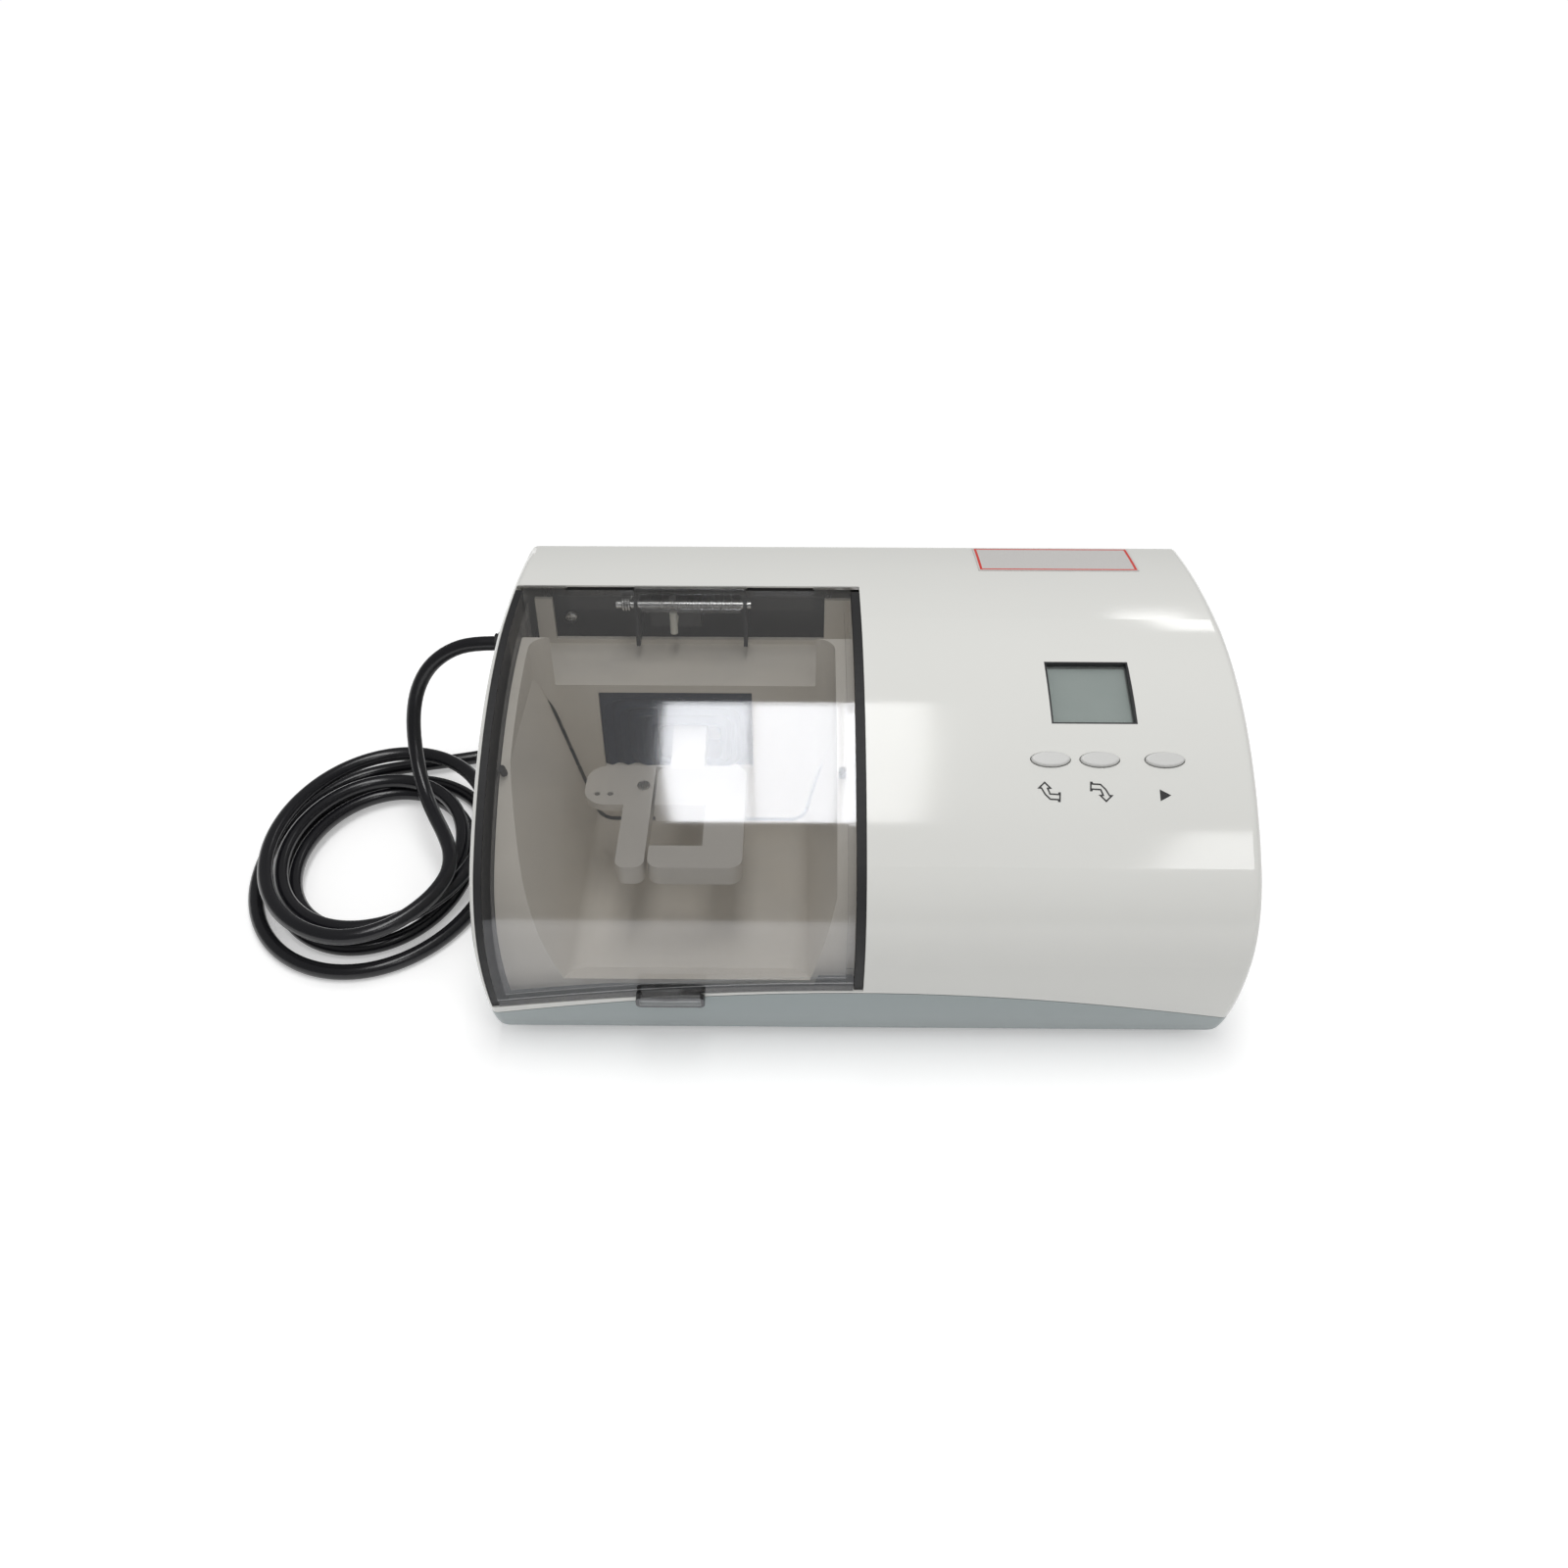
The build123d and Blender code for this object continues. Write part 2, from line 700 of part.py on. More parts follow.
shelf_left = lid_left - shelf_side_gap
shelf_right = lid_right + slide_gap
tub_shelf_room = slab((shelf_left, shelf_right), (tub_back, tub_shelf_back), (tub_shelf_z, far))
tub_shelf_shell = slab(
    (shelf_left - shelf_wall, shelf_right + tub_wall),
    (tub_back, tub_shelf_back + tub_wall),
    (tub_shelf_z - tub_wall, far),
)
tub_basin_room = tub_basin(0)
with BuildPart() as tub_rim:
    add(body_solid(tub_rim_inset))
    add(body_solid(tub_rim_inset + tub_wall), mode=Mode.SUBTRACT)
    rim_sides = (opening_left + rim_side_gap[0], opening_right - rim_side_gap[1])
    add(slab(rim_sides, (-far, tub_back), (0, far)), mode=Mode.INTERSECT)
    add(opening_region, mode=Mode.INTERSECT)

with BuildPart() as mixing_tub:
    add(tub_basin(tub_wall))
    add(tub_shelf_shell)
    add(rim_form, mode=Mode.INTERSECT)
    add(tub_rim.part)
    add(tub_basin_room, mode=Mode.SUBTRACT)
    add(tub_shelf_room, mode=Mode.SUBTRACT)
    add(slab(arm_window[:2], (tub_back - 1, tub_back + tub_wall + 1), arm_window[2:]), mode=Mode.SUBTRACT)
    view_y = (tub_shelf_back - 1, tub_shelf_back + tub_wall + 1)
    add(slab(view_window[:2], view_y, view_window[2:]), mode=Mode.SUBTRACT)
    with BuildSketch(Plane.XY.offset(base_post_top)):
        with Locations(*tub_posts):
            Circle(post_radius)
    extrude(amount=tub_floor_z - tub_wall / 2 - base_post_top)
    with BuildSketch(Plane.XY.offset(base_post_top)):
        with Locations(*tub_posts):
            Circle(screw_radius + fit_gap)
    extrude(amount=tub_screw_bite, mode=Mode.SUBTRACT)
mixing_tub.part.label = "mixing_tub"
export_step(mixing_tub.part, "parts/mixing_tub.step")

# ----------------------------------------------------------------------------
# Lid
# ----------------------------------------------------------------------------
lid_span = slab((lid_left, lid_right), (-far, opening_back - lid_back_gap), (0, far))

with BuildPart() as lid_flanges:
    add(body_solid(lid_thickness))
    add(body_solid(lid_thickness + lid_flange_depth), mode=Mode.SUBTRACT)
    add(slab((lid_left, lid_right), (-far, hinge_y - lid_flange_setback), (0, far)), mode=Mode.INTERSECT)
    add(
        slab((lid_left + lid_thickness, lid_right - lid_thickness), (-far, far), (0, far)),
        mode=Mode.SUBTRACT,
    )

with BuildPart() as pull_tab:
    add(body_solid(-tab_stand_off))
    add(body_solid(-0.5), mode=Mode.SUBTRACT)
    with BuildSketch(Plane.XZ):
        with Locations((tab_centre_x, tab_centre_z)):
            RectangleRounded(tab_width, tab_height, tab_corner)
    extrude(amount=far, mode=Mode.INTERSECT)
    with BuildSketch(Plane.XZ.offset(body_depth / 2 + tab_stand_off - tab_recess)):
        with Locations((tab_centre_x, tab_centre_z)):
            RectangleRounded(tab_width - 2 * tab_edge, tab_height - 2 * tab_edge, tab_corner - tab_edge)
    extrude(amount=8, mode=Mode.SUBTRACT)

with BuildPart() as tab_root:
    add(body_solid(-1.0))
    add(body_solid(1.0), mode=Mode.SUBTRACT)
    tab_half = tab_width / 2 - tab_corner
    tab_root_span = (tab_centre_x - tab_half, tab_centre_x + tab_half)
    add(slab(tab_root_span, (-far, 0), (tab_centre_z, tab_centre_z + tab_height / 2)), mode=Mode.INTERSECT)

knuckle_left = knuckle_centre_x - knuckle_width / 2
with BuildPart() as knuckle:
    with BuildSketch(Plane.YZ.offset(knuckle_left)):
        with Locations((hinge_y, hinge_z)):
            Circle(knuckle_radius)
        Polygon(
            (hinge_y - knuckle_radius, hinge_z),
            (hinge_y + knuckle_radius, hinge_z),
            (hinge_y + knuckle_radius, hinge_z + 4),
            (hinge_y - knuckle_radius, hinge_z + 4),
            align=None,
        )
    extrude(amount=knuckle_width)

with BuildPart() as lid:
    add(outer_form)
    add(body_solid(lid_thickness), mode=Mode.SUBTRACT)
    add(lid_span, mode=Mode.INTERSECT)
    add(lid_flanges.part)
    add(tab_root.part)
    add(lid_region, mode=Mode.INTERSECT)
    add(pull_tab.part)
    for left, right in notch_spans:
        add(
            slab((left, right), (opening_back - lid_back_gap - notch_depth, far), (hinge_z, far)),
            mode=Mode.SUBTRACT,
        )
    add(knuckle.part)
    with BuildSketch(Plane.YZ.offset(knuckle_left - 1)):
        with Locations((hinge_y, hinge_z)):
            Circle(hinge_pin_radius + fit_gap)
    extrude(amount=knuckle_width + 2, mode=Mode.SUBTRACT)
    with BuildSketch(Plane.XY.offset(striker_tip_z)):
        with Locations((striker_x, striker_y)):
            Circle(striker_radius)
    extrude(amount=hinge_z + knuckle_radius - striker_tip_z, mode=Mode.SUBTRACT)
lid.part.label = "lid"
export_step(lid.part, "parts/lid.step")

with BuildPart() as lid_striker:
    with BuildSketch(Plane.XY.offset(striker_tip_z)):
        with Locations((striker_x, striker_y)):
            Circle(striker_radius)
    extrude(amount=hinge_z - hinge_pin_radius - striker_head_gap / 2 - striker_tip_z)
lid_striker.part.label = "lid_striker"
export_step(lid_striker.part, "parts/lid_striker.step")

with BuildPart() as lid_seals:
    add(body_solid(seal_inset))
    add(body_solid(seal_depth), mode=Mode.SUBTRACT)
    add(opening_region, mode=Mode.INTERSECT)
    add(slab((-far, far), (-far, opening_back - 3), (0, far)), mode=Mode.INTERSECT)
    lid_room = (opening_left + fit_gap * 2 + seal_width, lid_right + slide_gap)
    add(slab(lid_room, (-far, far), (0, far)), mode=Mode.SUBTRACT)
    seal_span = (opening_left + fit_gap * 2, opening_right - fit_gap * 2)
    add(slab(seal_span, (-far, far), (0, far)), mode=Mode.INTERSECT)
    # two short strips under the housing's rear edge, behind the notches in the lid
    for left, right in notch_spans:
        with BuildSketch(Plane.YZ.offset(left + slide_gap)):
            Polygon(
                (strip_front, strip_low),
                (tub_shelf_back, strip_low),
                (tub_shelf_back, undercut_top - tub_shelf_back + opening_back),
                (strip_front, undercut_top - strip_front + opening_back),
                align=None,
            )
        extrude(amount=right - left - 2 * slide_gap)
lid_seals.part.label = "lid_seals"
export_step(lid_seals.part, "parts/lid_seals.step")

# two rubber stops on the rim, under the front of the lid
with BuildPart() as lid_buffers:
    for stop_x in (tub_left_top - buffer_offset, tub_right_top + buffer_offset):
        with BuildSketch(crown_plane(stop_x, buffer_y, tub_rim_inset)):
            Circle(buffer_radius)
        extrude(amount=tub_rim_inset - lid_thickness - slide_gap)
lid_buffers.part.label = "lid_buffers"
export_step(lid_buffers.part, "parts/lid_buffers.step")

# ----------------------------------------------------------------------------
# Hinge bracket, pin and spring, and the interlock switch
# ----------------------------------------------------------------------------
knuckle_right = knuckle_left + knuckle_width
bracket_left, bracket_right = bracket_span
ear_lefts = [knuckle_left - ear_gap - bracket_gauge, knuckle_right + ear_gap]

with BuildPart() as hinge_bracket:
    add(slab(bracket_span, (bracket_y, bracket_y + bracket_gauge), bracket_height))
    for flange_left in (bracket_left, bracket_right - bracket_gauge):
        add(
            slab(
                (flange_left, flange_left + bracket_gauge),
                (tub_shelf_back + tub_wall, bracket_y + bracket_gauge),
                bracket_height,
            )
        )
    for ear_left in ear_lefts:
        with BuildSketch(Plane.YZ.offset(ear_left)):
            Polygon(
                (bracket_y + bracket_gauge, ear_low),
                (ear_front, ear_low),
                (ear_front, hinge_z),
                (ear_back, hinge_z),
                (ear_back, ear_high),
                (bracket_y + bracket_gauge, ear_high),
                align=None,
            )
            with Locations((hinge_y, hinge_z)):
                Circle((ear_back - ear_front) / 2)
        extrude(amount=bracket_gauge)
    with BuildSketch(Plane.YZ.offset(bracket_left)):
        with Locations((hinge_y, hinge_z)):
            Circle(hinge_pin_radius + fit_gap)
    extrude(amount=bracket_right - bracket_left, mode=Mode.SUBTRACT)
    with BuildSketch(Plane.XZ.offset(-bracket_y + 1)):
        with Locations((bracket_screw_x, bracket_screw_z)):
            Circle(screw_radius + fit_gap)
    extrude(amount=-(bracket_gauge + 2), mode=Mode.SUBTRACT)
hinge_bracket.part.label = "hinge_bracket"
export_step(hinge_bracket.part, "parts/hinge_bracket.step")

with BuildPart() as hinge_pin:
    with BuildSketch(Plane.YZ.offset(ear_lefts[0] - spring_room)):
        with Locations((hinge_y, hinge_z)):
            Circle(hinge_pin_radius)
    extrude(amount=ear_lefts[1] - ear_lefts[0] + spring_room + 2 * bracket_gauge)
hinge_pin.part.label = "hinge_pin"
export_step(hinge_pin.part, "parts/hinge_pin.step")

# coils of the spring that helps the lid up, wound on the pin outside the left ear
with BuildPart() as hinge_spring:
    with Locations(
        *[
            Location((ear_lefts[0] - spring_wire - turn * spring_pitch, hinge_y, hinge_z), (0, 90, 0))
            for turn in range(spring_turns)
        ]
    ):
        Torus(hinge_pin_radius + spring_wire / 2 + fit_gap, spring_wire / 2)
hinge_spring.part.label = "hinge_spring"
export_step(hinge_spring.part, "parts/hinge_spring.step")

plunger_z = striker_tip_z + striker_head_gap / 2
switch_front = bracket_y - switch_body[1]
plunger_front = striker_y + striker_radius + slide_gap
with BuildPart() as interlock_switch:
    with Locations(Vector(striker_x, bracket_y - switch_body[1] / 2, plunger_z)):
        Box(*switch_body, switch_body[1])
    with BuildSketch(Plane.XZ.offset(1 - switch_front)):
        with Locations((striker_x, plunger_z)):
            Circle(plunger_radius + fit_gap)
    extrude(amount=-(plunger_depth + 1), mode=Mode.SUBTRACT)
interlock_switch.part.label = "interlock_switch"
export_step(interlock_switch.part, "parts/interlock_switch.step")

with BuildPart() as interlock_plunger:
    with BuildSketch(Plane.XZ.offset(-plunger_front)):
        with Locations((striker_x, plunger_z)):
            Circle(plunger_radius)
    extrude(amount=-(switch_front + plunger_depth - plunger_travel - fit_gap - plunger_front))
interlock_plunger.part.label = "interlock_plunger"
export_step(interlock_plunger.part, "parts/interlock_plunger.step")

# ----------------------------------------------------------------------------
# Drive
# ----------------------------------------------------------------------------
def shaft_plane(x):
    """Plane square to the drive shaft, at the given x, centred on the shaft."""
    return Plane(origin=(x, shaft_y, shaft_z), x_dir=(0, 1, 0), z_dir=(1, 0, 0))


motor_right = motor_left + motor_length
with BuildPart() as mechanism_plate:
    with BuildSketch(Plane.XY.offset(plate_top - plate_gauge)):
        with Locations(plate_centre):
            RectangleRounded(*plate_size, plate_corner)
            with GridLocations(*isolator_pitch, 2, 2):
                Circle(screw_radius + fit_gap, mode=Mode.SUBTRACT)
    extrude(amount=plate_gauge)
mechanism_plate.part.label = "mechanism_plate"
export_step(mechanism_plate.part, "parts/mechanism_plate.step")

with BuildPart() as plate_isolators:
    with Locations(Vector(*plate_centre, plate_top - plate_gauge - isolator_height)):
        with GridLocations(*isolator_pitch, 2, 2):
            Cylinder(isolator_radius, isolator_height, align=(Align.CENTER, Align.CENTER, Align.MIN))
    chamfer(plate_isolators.edges().filter_by(GeomType.CIRCLE), 1.0)
plate_isolators.part.label = "plate_isolators"
export_step(plate_isolators.part, "parts/plate_isolators.step")

# screws that hold the mechanism plate, the control board and the hinge bracket
with BuildPart() as inner_screws:
    with BuildSketch(Plane.XY.offset(plate_top)):
        with Locations(plate_centre):
            with GridLocations(*isolator_pitch, 2, 2):
                Circle(screw_head_radius)
    extrude(amount=screw_head)
    with BuildSketch(Plane.XY.offset(plate_top)):
        with Locations(plate_centre):
            with GridLocations(*isolator_pitch, 2, 2):
                Circle(screw_radius)
    extrude(amount=-plate_gauge)
    with BuildSketch(Plane.XY.offset(board_z + board_gauge)):
        with Locations(*board_posts):
            Circle(screw_head_radius)
    extrude(amount=screw_head)
    with BuildSketch(Plane.XY.offset(board_z + board_gauge)):
        with Locations(*board_posts):
            Circle(screw_radius)
    extrude(amount=-(board_z + board_gauge - foot_lift - wall - 1))
    with BuildSketch(Plane.XZ.offset(-bracket_y)):
        with Locations((bracket_screw_x, bracket_screw_z)):
            Circle(screw_head_radius)
    extrude(amount=screw_head)
    with BuildSketch(Plane.XZ.offset(-bracket_y)):
        with Locations((bracket_screw_x, bracket_screw_z)):
            Circle(screw_radius)
    extrude(amount=-bracket_screw_length)
inner_screws.part.label = "inner_screws"
export_step(inner_screws.part, "parts/inner_screws.step")

with BuildPart() as motor_can:
    with BuildSketch(shaft_plane(motor_left)):
        Circle(motor_radius)
    extrude(amount=motor_length)
    fillet(motor_can.edges().filter_by(GeomType.CIRCLE), 2.0)
    with BuildSketch(shaft_plane(motor_left + motor_shell)):
        Circle(motor_radius - motor_shell)
    extrude(amount=motor_length - 2 * motor_shell, mode=Mode.SUBTRACT)
    with BuildSketch(shaft_plane(motor_left - 1)):
        Circle(shaft_radius + bush_wall)
    extrude(amount=motor_length + 2, mode=Mode.SUBTRACT)
    with Locations(shaft_plane(motor_left)):
        with PolarLocations((motor_radius + shaft_radius + bush_wall) / 2, can_vents):
            Hole(can_vent_radius, depth=motor_shell + fit_gap)
motor_can.part.label = "motor_can"
export_step(motor_can.part, "parts/motor_can.step")

with BuildPart() as shaft_bushes:
    for bush_x in (motor_left, motor_right - bush_length, pillow_x):
        with BuildSketch(shaft_plane(bush_x)):
            Circle(shaft_radius + bush_wall)
            Circle(shaft_radius + fit_gap, mode=Mode.SUBTRACT)
        extrude(amount=bush_length)
shaft_bushes.part.label = "shaft_bushes"
export_step(shaft_bushes.part, "parts/shaft_bushes.step")

# field winding against the inside of the can
with BuildPart() as motor_stator:
    with BuildSketch(shaft_plane(motor_left + stator_inset)):
        Circle(motor_radius - motor_shell)
        Circle(rotor_radius + rotor_gap, mode=Mode.SUBTRACT)
        with PolarLocations((motor_radius + rotor_radius) / 2, stator_slots):
            Circle(stator_slot_radius, mode=Mode.SUBTRACT)
    extrude(amount=motor_length - 2 * stator_inset)
motor_stator.part.label = "motor_stator"
export_step(motor_stator.part, "parts/motor_stator.step")

with BuildPart() as motor_rotor:
    with BuildSketch(shaft_plane(coupling_right - coupling_length / 2 + fit_gap)):
        Circle(shaft_radius)
    extrude(amount=motor_right + 2 - coupling_right + coupling_length / 2)
    with BuildSketch(shaft_plane(motor_left + rotor_inset)):
        Circle(rotor_radius)
        with PolarLocations(rotor_radius, rotor_slots):
            Rectangle(*rotor_slot, mode=Mode.SUBTRACT)
    extrude(amount=motor_length - 2 * rotor_inset)
motor_rotor.part.label = "motor_rotor"
export_step(motor_rotor.part, "parts/motor_rotor.step")

with BuildPart() as motor_saddle:
    saddle_middle = motor_left + motor_length / 2
    add(
        slab(
            (saddle_middle - saddle_width / 2, saddle_middle + saddle_width / 2),
            (shaft_y - motor_radius + 2, shaft_y + motor_radius - 2),
            (plate_top, shaft_z - strap_drop),
        )
    )
    with BuildSketch(shaft_plane(motor_left)):
        Circle(motor_radius + fit_gap)
    extrude(amount=motor_length, mode=Mode.SUBTRACT)
motor_saddle.part.label = "motor_saddle"
export_step(motor_saddle.part, "parts/motor_saddle.step")

with BuildPart() as motor_strap:
    with BuildSketch(shaft_plane(saddle_middle - strap_width / 2)) as strap:
        Circle(motor_radius + fit_gap + strap_gauge)
        with Locations((0, -strap_drop - far / 2)):
            Rectangle(far, far, mode=Mode.SUBTRACT)
        with Locations((0, -strap_drop + strap_gauge / 2)):
            Rectangle(2 * (motor_radius + strap_ear), strap_gauge)
        Circle(motor_radius + fit_gap, mode=Mode.SUBTRACT)
    extrude(amount=strap_width)
motor_strap.part.label = "motor_strap"
export_step(motor_strap.part, "parts/motor_strap.step")

with BuildPart() as pillow_block:
    with BuildSketch(shaft_plane(pillow_x)):
        Circle(pillow_radius)
        with Locations((0, -(shaft_z - plate_top) / 2)):
            Rectangle(pillow_stem, shaft_z - plate_top)
        with Locations((0, plate_top - shaft_z + pillow_foot[1] / 2)):
            Rectangle(*pillow_foot)
        Circle(shaft_radius + bush_wall, mode=Mode.SUBTRACT)
    extrude(amount=bush_length)
pillow_block.part.label = "pillow_block"
export_step(pillow_block.part, "parts/pillow_block.step")

shaft_end_x = arm_x - journal_width / 2 - 3
with BuildPart() as drive_shaft:
    with BuildSketch(shaft_plane(shaft_end_x)):
        Circle(shaft_radius)
    extrude(amount=coupling_right - coupling_length / 2 - fit_gap - shaft_end_x)
    chamfer(drive_shaft.edges().group_by(Axis.X)[0], 0.6)
drive_shaft.part.label = "drive_shaft"
export_step(drive_shaft.part, "parts/drive_shaft.step")

with BuildPart() as shaft_coupling:
    with BuildSketch(shaft_plane(coupling_right - coupling_length)):
        Circle(coupling_radius)
        Circle(shaft_radius + fit_gap, mode=Mode.SUBTRACT)
    extrude(amount=coupling_length)
    with BuildSketch(shaft_plane(coupling_right - coupling_length / 2 - 1)):
        with PolarLocations(coupling_radius, 6):
            Circle(1.6)
    extrude(amount=2, mode=Mode.SUBTRACT)
shaft_coupling.part.label = "shaft_coupling"
export_step(shaft_coupling.part, "parts/shaft_coupling.step")

with BuildPart() as counterweight:
    with BuildSketch(shaft_plane(counterweight_x)):
        Circle(counterweight_hub)
        with Locations((0, -counterweight_lobe[1] / 2)):
            Rectangle(*counterweight_lobe)
        Circle(shaft_radius + fit_gap, mode=Mode.SUBTRACT)
    extrude(amount=counterweight_gauge)
counterweight.part.label = "counterweight"
export_step(counterweight.part, "parts/counterweight.step")

# sleeve whose outside is tilted to the shaft, which makes the arm swing
with BuildPart() as skew_journal:
    tilted = Plane(
        origin=(arm_x, shaft_y, shaft_z),
        z_dir=(math.cos(math.radians(journal_skew)), math.sin(math.radians(journal_skew)), 0),
    )
    with BuildSketch(tilted):
        Circle(journal_radius)
    extrude(amount=journal_width / 2, both=True)
    with BuildSketch(shaft_plane(arm_x - journal_width)):
        Circle(shaft_radius + fit_gap)
    extrude(amount=2 * journal_width, mode=Mode.SUBTRACT)
skew_journal.part.label = "skew_journal"
export_step(skew_journal.part, "parts/skew_journal.step")

with BuildPart() as arm_bearing:
    with BuildSketch(shaft_plane(arm_x - bearing_width / 2)):
        Circle(bearing_outer)
        Circle(bearing_outer - ring_gauge, mode=Mode.SUBTRACT)
        Circle(bearing_bore + ring_gauge)
        Circle(bearing_bore, mode=Mode.SUBTRACT)
    extrude(amount=bearing_width)
    with Locations(shaft_plane(arm_x)):
        with PolarLocations((bearing_outer + bearing_bore) / 2, ball_count):
            Sphere((bearing_outer - bearing_bore) / 2 - ring_gauge - fit_gap)
arm_bearing.part.label = "arm_bearing"
export_step(arm_bearing.part, "parts/arm_bearing.step")

# ----------------------------------------------------------------------------
# Arm and capsule cradle
# ----------------------------------------------------------------------------
neck_back = shaft_y - (bearing_outer + arm_hub_radius) / 2
cradle_low = cradle_z - cradle_height / 2
cradle_high = cradle_z + cradle_height / 2
with BuildPart() as mixing_arm:
    with BuildSketch(shaft_plane(arm_x - arm_width / 2)):
        Circle(arm_hub_radius)
        with Locations((arm_hub_radius, 0)):
            Rectangle(2 * arm_tail_reach, arm_tail)
        Circle(bearing_outer + fit_gap, mode=Mode.SUBTRACT)
    extrude(amount=arm_width)
    with BuildSketch(Plane.YZ.offset(arm_x - neck_width / 2)):
        Polygon(
            (neck_back, shaft_z + neck_hub_half),
            (neck_back, shaft_z - neck_hub_half),
            (cradle_back - 2, cradle_low),
            (cradle_back - 2, cradle_high),
            align=None,
        )
    extrude(amount=neck_width)
    # plate behind the capsule, right prong and front bar
    with BuildSketch(Plane.XY.offset(cradle_low)) as cradle:
        add(
            Rectangle(
                cradle_right - cradle_void[0] - jaw_gap,
                cradle_back - cradle_front,
                align=(Align.MIN, Align.MIN),
                mode=Mode.PRIVATE,
            ).moved(Location((cradle_void[0] + jaw_gap, cradle_front)))
        )
        fillet(cradle.vertices(), cradle_corner)
        add(
            Rectangle(
                cradle_void[1] - cradle_void[0] + 2,
                cradle_block_front - cradle_bar_back,
                align=(Align.MAX, Align.MIN),
                mode=Mode.PRIVATE,
            ).moved(Location((cradle_void[1], cradle_bar_back))),
            mode=Mode.SUBTRACT,
        )
    extrude(amount=cradle_height)
    # strap below, which carries the pivot pin of the clamp lever
    with BuildSketch(Plane.XY.offset(cradle_low - fit_gap - carrier_gauge)):
        with Locations(((cradle_left + cradle_void[1]) / 2, jaw_pivot[1])):
            RectangleRounded(cradle_void[1] - cradle_left + 6, carrier_width, 3)
        with Locations(jaw_pivot):
            Circle(jaw_pin_radius, mode=Mode.SUBTRACT)
    extrude(amount=carrier_gauge)
    with BuildSketch(Plane.XY.offset(cradle_low - fit_gap)):
        with Locations((cradle_void[1], jaw_pivot[1])):
            Rectangle(5, 6)
    extrude(amount=fit_gap)
mixing_arm.part.label = "mixing_arm"
export_step(mixing_arm.part, "parts/mixing_arm.step")

with BuildPart() as clamp_lever:
    # left prong
    with BuildSketch(Plane.XY.offset(cradle_low)) as prong:
        with Locations(((cradle_left + cradle_void[0]) / 2, (cradle_front + cradle_back) / 2)):
            Rectangle(cradle_void[0] - cradle_left, cradle_back - cradle_front)
        fillet(prong.vertices(), prong_corner)
    extrude(amount=cradle_height)
    # finger plate that reaches to the left
    with BuildSketch(Plane.XY.offset(cradle_high - lever_gauge)) as finger:
        with Locations(((lever_reach + cradle_void[0]) / 2, (cradle_block_front + cradle_back) / 2)):
            Rectangle(cradle_void[0] - lever_reach, cradle_back - cradle_block_front)
        fillet(finger.vertices().group_by(Axis.X)[0], finger_corner)
    extrude(amount=lever_gauge)
    with BuildSketch(Plane.XY.offset(cradle_low - 1)):
        with Locations(jaw_pivot):
            Circle(jaw_pin_radius + fit_gap)
    extrude(amount=cradle_height + 2, mode=Mode.SUBTRACT)
    with BuildSketch(Plane.XY.offset(cradle_low - 1)):
        with Locations(*rivet_places):
            Circle(rivet_radius)
    extrude(amount=cradle_height + 2, mode=Mode.SUBTRACT)
clamp_lever.part.label = "clamp_lever"
export_step(clamp_lever.part, "parts/clamp_lever.step")

with BuildPart() as lever_rivets:
    with BuildSketch(Plane.XY.offset(cradle_high - lever_gauge)):
        with Locations(*rivet_places):
            Circle(rivet_radius)
    extrude(amount=lever_gauge - rivet_sink)
lever_rivets.part.label = "lever_rivets"
export_step(lever_rivets.part, "parts/lever_rivets.step")

with BuildPart() as jaw_pin:
    with BuildSketch(Plane.XY.offset(cradle_low - fit_gap - carrier_gauge)):
        with Locations(jaw_pivot):
            Circle(jaw_pin_radius)
    extrude(amount=cradle_height + carrier_gauge + 2 * fit_gap)
    with BuildSketch(Plane.XY.offset(cradle_high + fit_gap)):
        with Locations(jaw_pivot):
            Circle(jaw_pin_radius + jaw_pin_head[0])
    extrude(amount=jaw_pin_head[1])
jaw_pin.part.label = "jaw_pin"
export_step(jaw_pin.part, "parts/jaw_pin.step")

# nylon guide that keeps the arm's tail level and lets it swing sideways
tail_end = shaft_y + arm_hub_radius + arm_tail_reach
with BuildPart() as arm_guide:
    with BuildSketch(Plane.XZ.offset(-(tail_end + 2 - guide_gauge))):
        with Locations((arm_x, plate_top)):
            Rectangle(guide_width, shaft_z + guide_cap - plate_top, align=(Align.CENTER, Align.MIN))
        with Locations((arm_x, shaft_z)):
            Rectangle(guide_slot, arm_tail + 2 * slide_gap, mode=Mode.SUBTRACT)
    extrude(amount=-guide_gauge)
arm_guide.part.label = "arm_guide"
export_step(arm_guide.part, "parts/arm_guide.step")

window_left, window_right, window_low = arm_window[:3]
with BuildPart() as dust_boot:
    add(
        slab(
            (window_left - boot_lap, window_right + boot_lap),
            (tub_back + tub_wall, tub_back + tub_wall + boot_gauge),
            (window_low - boot_lap, tub_shelf_z - tub_wall),
        )
    )
    with BuildSketch(Plane.XZ.offset(-tub_back)):
        with Locations((arm_x, boot_slot_z)):
            SlotOverall(*boot_slot)
    extrude(amount=-(tub_wall + boot_gauge + 1), mode=Mode.SUBTRACT)
dust_boot.part.label = "dust_boot"
export_step(dust_boot.part, "parts/dust_boot.step")

